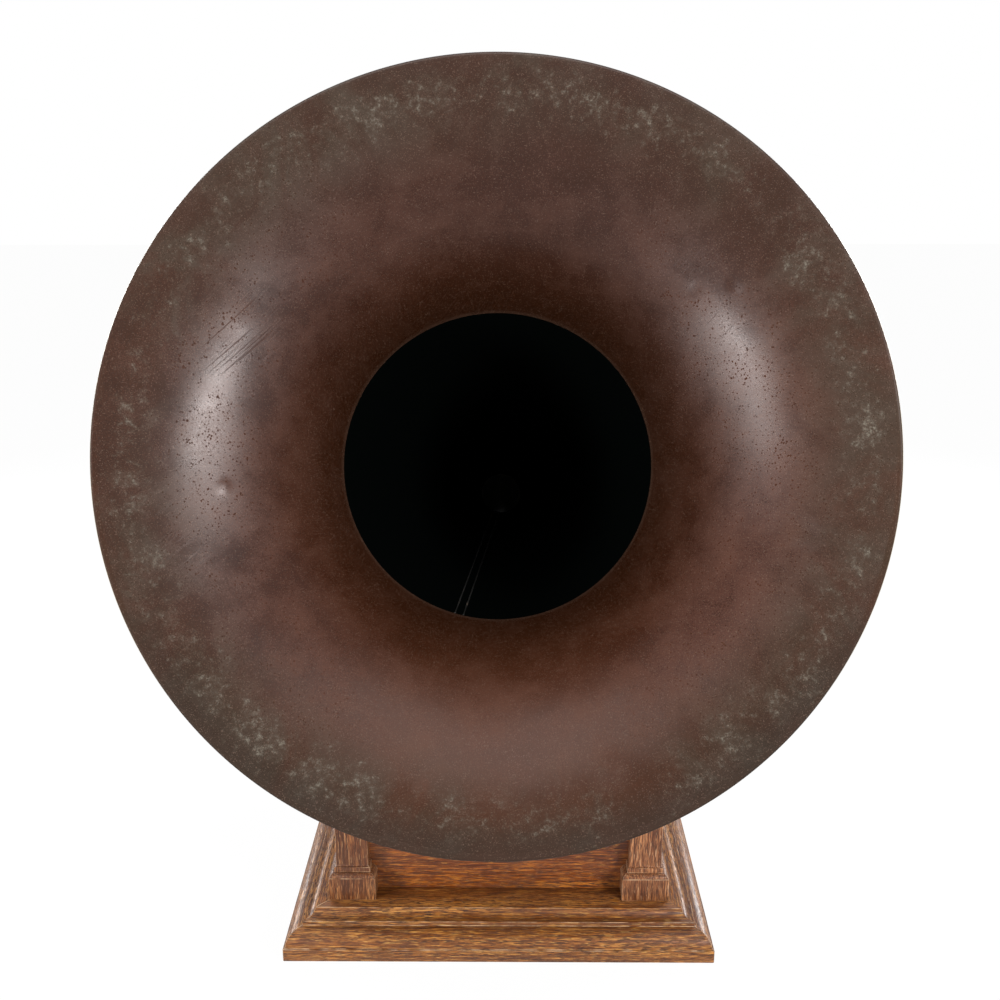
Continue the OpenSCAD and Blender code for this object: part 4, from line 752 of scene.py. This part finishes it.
cone_black, tree, shader, place = finish_of("cone_black", gloss=0.0)
_, xyz, radius = in_horn(tree, place)
bore = maths(tree, "ADD", times(tree, xyz[2], CONE_TAPER), cone_radius(0.0))
outside = spread(tree, maths(tree, "SUBTRACT", radius, bore), 0.0002, 0.0009)
soot = spread(tree, clouds(tree, place, 60, detail=5, roughness=0.6), 0.3, 0.7, to=(0.24, 0.42))
# Painted shade: the bore is near black, far darker than the same japan outside, standing for the shade down
# the cone.
feed(tree, shader, {"Base Color": mix_colour(tree, outside, CONE_BORE_SHADE, CONE_OUTSIDE),
                    "Roughness": maths(tree, "ADD", soot, spread(tree, outside, 0, 1, to=(0.40, 0.0))),
                    "Coat Weight": spread(tree, outside, 0, 1, to=(0.004, 0.5))})
relief(tree, shader, clouds(tree, place, 260, detail=2), depth=0.00010)
dress(black_japan, "horn_elbow")
dress(brass, "horn_union")


def even_steps(first, last, steps):
    """Evenly spaced values from the first to the last."""
    return [first + (last - first) * i / steps for i in range(steps + 1)]


profile = [(cone_radius(z), z) for z in even_steps(*CONE_Z, CONE_STEPS)]
profile += [(JOINT_R[1] - JOINT_EDGE, JOINT_Z[1]), (JOINT_R[1], JOINT_Z[1] - JOINT_EDGE)]
profile += [(JOINT_R[0], JOINT_Z[0] + JOINT_EDGE), (JOINT_R[0] - JOINT_EDGE, JOINT_Z[0])]
profile += [(cone_radius(z) + CONE_WALL, z) for z in even_steps(JOINT_Z[0], FLANGE_Z, CONE_STEPS)]
profile += [(FLANGE_R, FLANGE_Z), (FLANGE_R, CONE_Z[0])]
cone_mesh = turned("cone", profile, CONE_SEGMENTS, cone_black)
cone_mesh.transform(HORN_PLACE)
piece("sheet_cone", cone_mesh, "horn", "black_japan", cone_black, "horn_cone")

corners, faces = [], []
for start, end, offset, lift in SEAM_SIDES:
    for side in (-SEAM_HALF, SEAM_HALF):
        base = len(corners)
        for z in even_steps(start, end, CONE_STEPS):
            wall = cone_radius(z) + offset
            for across, depth in SEAM_SECTION:
                angle = SEAM_ANGLE + (side + across * SEAM_RIDGE) / wall
                r = wall + depth * lift
                corners.append((r * math.cos(angle), r * math.sin(angle), z))
        n = len(SEAM_SECTION)
        for i in range(CONE_STEPS):
            for k in range(n):
                a, b = base + n * i + k, base + n * i + (k + 1) % n
                faces.append((a, b, b + n, a + n))
        faces += [tuple(base + k for k in range(n)), tuple(base + n * CONE_STEPS + k for k in range(n))]
seam_mesh = bpy.data.meshes.new("cone_seam")
seam_mesh.from_pydata(corners, [], faces)
outward(seam_mesh)
seam_mesh.transform(HORN_PLACE)
piece("cone_seam", seam_mesh, "horn", "black_japan", black_japan)

# Horn, bell. Copper sheet spun over a former into one flaring curve, wired at the mouth and soldered to
# the cone. The lacquer is gone: the copper has turned brown, with a few knocks and verdigris at the rim.
BELL_R = 0.202757
BELL_DROP = 0.069347
BELL_CENTRE = (0.312529, CONE_Z[1] - BELL_DROP)
BELL_SLOPES = (20.0, 79.4771)
BELL_BACK_SLOPE = 20.124
BELL_SHEET = 0.0012
BELL_STEPS = 84
BELL_SEGMENTS = 360
RIM_R = 0.0022
RIM_SWEEP = math.radians(205)
RIM_STEPS = 12
RIM_TUCK = 1.0
# Each knock: its angle in degrees, its distance from the axis, its reach and its depth.
KNOCKS = ((187, 0.195, 0.0060, 0.0008), (35, 0.206, 0.0055, -0.0005), (40, 0.186, 0.0070, 0.0003),
          (-15, 0.221, 0.0160, -0.0012), (152, 0.205, 0.0180, -0.0003), (-70, 0.232, 0.0200, -0.0006),
          (100, 0.240, 0.0220, 0.0006))
# Each wave of the sheet: its depth, how many to the metre, and a shift that sets it apart.
WAVES = ((0.0010, 9, (0, 0, 0)), (0.0005, 23, (7, 3, 1)))
UNEVEN_FROM = (0.124, 0.140)
UNEVEN_TO = (0.262, 0.2735)
BROWN_STEPS = [(0.42, (0.0170, 0.0042, 0.0015)), (0.50, (0.0305, 0.0084, 0.0034)),
               (0.58, (0.0490, 0.0162, 0.0080))]
WORN_LIT_BROWN = (0.0520, 0.0170, 0.0070, 1)
TOP_SHADE_BROWN = (0.0150, 0.0045, 0.0018, 1)
THROAT_SHADE_BROWN = (0.0115, 0.0033, 0.0009, 1)
RIM_HAZE = (0.0200, 0.0123, 0.0068, 1)
LOW_RIM_DARK = (0.0140, 0.0100, 0.0072, 1)
CRUST_VEIL = (0.052, 0.040, 0.0285, 1)
VERDIGRIS = (0.128, 0.116, 0.094, 1)
PIT = (0.010, 0.005, 0.003, 1)
DUST = (0.105, 0.068, 0.050, 1)
RIM_GLINT_COLOUR = (0.40, 0.34, 0.24, 1)
SOLDER = (0.070, 0.045, 0.032, 1)
SCUFF_AT = (-0.187, 0.087, 0.468)
SCRATCH_TURN = math.radians(46)
SCRATCH_SIZE = (0.10, 0.0013, 0.05)


def on_arc(radius, slope):
    """The (radius, height) where an arc round the bell's centre slopes so many degrees from the axis."""
    angle = math.radians(slope)
    return BELL_CENTRE[0] - radius * math.cos(angle), BELL_CENTRE[1] + radius * math.sin(angle)


def arc_points(radius, first, last, steps):
    return [on_arc(radius, slope) for slope in even_steps(first, last, steps)]


rim_slope = math.radians(BELL_SLOPES[1])
bead_at = on_arc(BELL_R - RIM_R, BELL_SLOPES[1])
profile = arc_points(BELL_R, *BELL_SLOPES, BELL_STEPS)
for i in range(1, RIM_STEPS + 1):
    angle = RIM_SWEEP * i / RIM_STEPS
    front, out = RIM_R * math.cos(angle), RIM_R * math.sin(angle)
    profile.append((bead_at[0] - front * math.cos(rim_slope) + out * math.sin(rim_slope),
                    bead_at[1] + front * math.sin(rim_slope) + out * math.cos(rim_slope)))
profile += arc_points(BELL_R - BELL_SHEET, BELL_SLOPES[1] - RIM_TUCK, BELL_BACK_SLOPE, BELL_STEPS // 2)


def blend_of(tree, *parts):
    """The sum of each value times its share."""
    total = times(tree, *parts[0])
    for value, share in parts[1:]:
        total = add(tree, "ShaderNodeMath", {0: value, 1: share, 2: total},
                    operation="MULTIPLY_ADD").outputs[0]
    return total


# Where on the bell, and the clouds that everything below is drawn from, from broad to fine.
patina, tree, shader, place = finish_of("brown_patina", coat_roughness=0.36, gloss=0.10)
vector, xyz, radius = in_horn(tree, place)
from_middle = maths(tree, "ABSOLUTE", xyz[0])
rim_zone = spread(tree, radius, 0.190, 0.255)
sides = spread(tree, from_middle, 0.05, 0.15, to=(0.15, 1.0))
low_half = spread(tree, xyz[1], -0.06, -0.18)
worn_lit_low = times(tree, low_half, spread(tree, from_middle, 0.17, 0.05))
broad = clouds(tree, vector, 5.0, detail=4, roughness=0.6)
smear = clouds(tree, vector, 15, detail=6, roughness=0.62, distortion=1.1)
mottle = clouds(tree, vector, 40, detail=6, roughness=0.65)
blotch = clouds(tree, vector, 190, detail=5, roughness=0.68)
speck = clouds(tree, vector, 620, detail=2, roughness=0.5)
grain = clouds(tree, vector, 1000, detail=3, roughness=0.75)
dust = clouds(tree, vector, 1250, detail=0)

# The brown itself: worn warmer and painted lighter low down, painted shade at the top and the throat, hazy
# at the rim, darker near it below.
brown = blend_of(tree, (broad, 0.34), (smear, 0.14), (mottle, 0.18), (grain, 0.34))
brown = colour_steps(tree, brown, BROWN_STEPS)
# Worn warmer and partly painted light: paler low down, where the bell faces up to the light.
brown = mix_colour(tree, times(tree, worn_lit_low, 0.40), brown, WORN_LIT_BROWN)
# Painted shade: darker at the top, which faces down, away from the light.
brown = mix_colour(tree, spread(tree, xyz[1], 0.06, 0.20, to=(0.0, 0.50)), brown, TOP_SHADE_BROWN)
# Painted shade: darker towards the throat, deep in the bell.
brown = mix_colour(tree, spread(tree, radius, 0.185, 0.118, to=(0.0, 0.85)), brown, THROAT_SHADE_BROWN)
hazy = spread(tree, blend_of(tree, (broad, 0.5), (smear, 0.5)), 0.40, 0.60, to=(0.25, 0.85))
brown = mix_colour(tree, times(tree, rim_zone, hazy), brown, RIM_HAZE)
# Darker near the rim on the lower half.
low_rim = times(tree, low_half, spread(tree, radius, 0.245, 0.272, to=(0.0, 0.55)))
brown = mix_colour(tree, low_rim, brown, LOW_RIM_DARK)

# Verdigris in blotches towards the rim, with a thin veil round them.
crust = blend_of(tree, (blotch, 0.48), (mottle, 0.22), (smear, 0.18), (grain, 0.12), (rim_zone, 0.20))
crust = maths(tree, "SUBTRACT", crust, spread(tree, radius, 0.258, 0.274, to=(0.0, 0.06)))
brown = mix_colour(tree, spread(tree, crust, 0.66, 0.80, to=(0.0, 0.30)), brown, CRUST_VEIL)
specked = spread(tree, speck, 0.42, 0.58, to=(0.15, 1.0))
verdigris = times(tree, spread(tree, crust, 0.72, 0.85), specked)
colour = mix_colour(tree, times(tree, verdigris, 0.70), brown, VERDIGRIS)

# Pits on the left and right, dust, and slanting scratches that gather at one scuff.
fine_pits = times(tree, spread(tree, grain, 0.56, 0.66), spread(tree, mottle, 0.44, 0.60))
cells = add(tree, "ShaderNodeTexVoronoi", {"Vector": vector, "Scale": 430}, feature="F1")
round_pits = blend_of(tree, (cells.outputs["Distance"], 1.0), (blotch, -0.9), (mottle, -0.5))
round_pits = spread(tree, round_pits, -0.465, -0.555)
pits = times(tree, most(tree, times(tree, fine_pits, 0.7), round_pits), sides)
colour = mix_colour(tree, times(tree, pits, 0.15), colour, PIT)
colour = mix_colour(tree, spread(tree, dust, 0.64, 0.78, to=(0.0, 0.38)), colour, DUST)
slant = add(tree, "ShaderNodeMapping", {"Vector": vector, "Rotation": (0, 0, SCRATCH_TURN),
                                        "Scale": SCRATCH_SIZE}, vector_type="TEXTURE").outputs[0]
from_scuff = add(tree, "ShaderNodeVectorMath", {0: vector, 1: SCUFF_AT}, operation="DISTANCE")
scuffed = most(tree, spread(tree, from_scuff.outputs["Value"], 0.045, 0.020),
               spread(tree, clouds(tree, vector, 13, detail=3), 0.54, 0.70, to=(0.0, 0.7)))
scratches = times(tree, spread(tree, clouds(tree, slant, 1.0, detail=2), 0.59, 0.67), scuffed)

# The mouth's edge, dirty below, with a painted highlight on its outermost edge at both sides, and the
# solder at the throat.
dirty_edge = times(tree, spread(tree, radius, 0.2715, 0.2745), spread(tree, xyz[1], 0.16, -0.10))
rim_glint = times(tree, spread(tree, radius, 0.2772, 0.2780, to=(0.0, 0.7)),
                    spread(tree, from_middle, 0.205, 0.262))
# Painted highlight: a pale line along the outermost rim at both sides.
colour = mix_colour(tree, rim_glint, colour, RIM_GLINT_COLOUR)
colour = mix_colour(tree, spread(tree, radius, 0.1240, 0.1226, to=(0.0, 0.14)), colour, SOLDER)

# What is left of the polish, gone wherever the surface is dull.
dull = most(tree, most(tree, verdigris, dirty_edge), most(tree, pits, times(tree, scratches, 0.6)))
metal = most(tree, spread(tree, dull, 0, 1, to=(0.07, 0.0)), times(tree, rim_glint, 0.6))
coat = times(tree, spread(tree, dull, 0, 1, to=(0.285, 0.0)), spread(tree, low_half, 0, 1, to=(1.0, 0.50)))
patchy = spread(tree, blend_of(tree, (smear, 0.5), (mottle, 0.5)), 0.36, 0.64, to=(0.82, 1.18))
polish = blend_of(tree, (broad, 0.45), (smear, 0.30), (mottle, 0.25))
polish = spread(tree, polish, 0.40, 0.60, to=(0.07, 0.28))
feed(tree, shader, {"Base Color": colour, "Metallic": metal, "Coat Weight": times(tree, coat, patchy),
                    "Roughness": blend_of(tree, (polish, 1.0), (grain, 0.22), (dull, 0.42))})
skin = blend_of(tree, (grain, 0.30), (mottle, 0.45), (verdigris, 0.4), (pits, -0.40), (scratches, -0.30))
relief(tree, shader, skin, depth=0.00020)


def eased_step(value, low, high):
    """0 up to low, 1 from high on, and a smooth rise between them."""
    t = min(1.0, max(0.0, (value - low) / (high - low)))
    return t * t * (3 - 2 * t)


bell_mesh = turned("bell", profile, BELL_SEGMENTS, patina)
knocks = [(Vector((r * math.cos(math.radians(a)), r * math.sin(math.radians(a)))), reach, depth)
          for a, r, reach, depth in KNOCKS]
for v in bell_mesh.vertices:
    flat = v.co.xy
    r = flat.length
    hold = eased_step(r, *UNEVEN_FROM) * (1 - eased_step(r, *UNEVEN_TO))
    way = Vector((r - BELL_CENTRE[0], v.co.z - BELL_CENTRE[1])).normalized()
    shift = sum(depth * noise.noise(v.co * count + Vector(apart)) for depth, count, apart in WAVES)
    shift += sum(depth * (1 - eased_step((flat - at).length, 0.0, reach)) for at, reach, depth in knocks)
    radial = flat / r
    v.co += hold * shift * Vector((radial.x * way.x, radial.y * way.x, way.y))
bell_mesh.transform(HORN_PLACE)
piece("spun_bell", bell_mesh, "horn", "horn_patina", patina, "horn_bell")
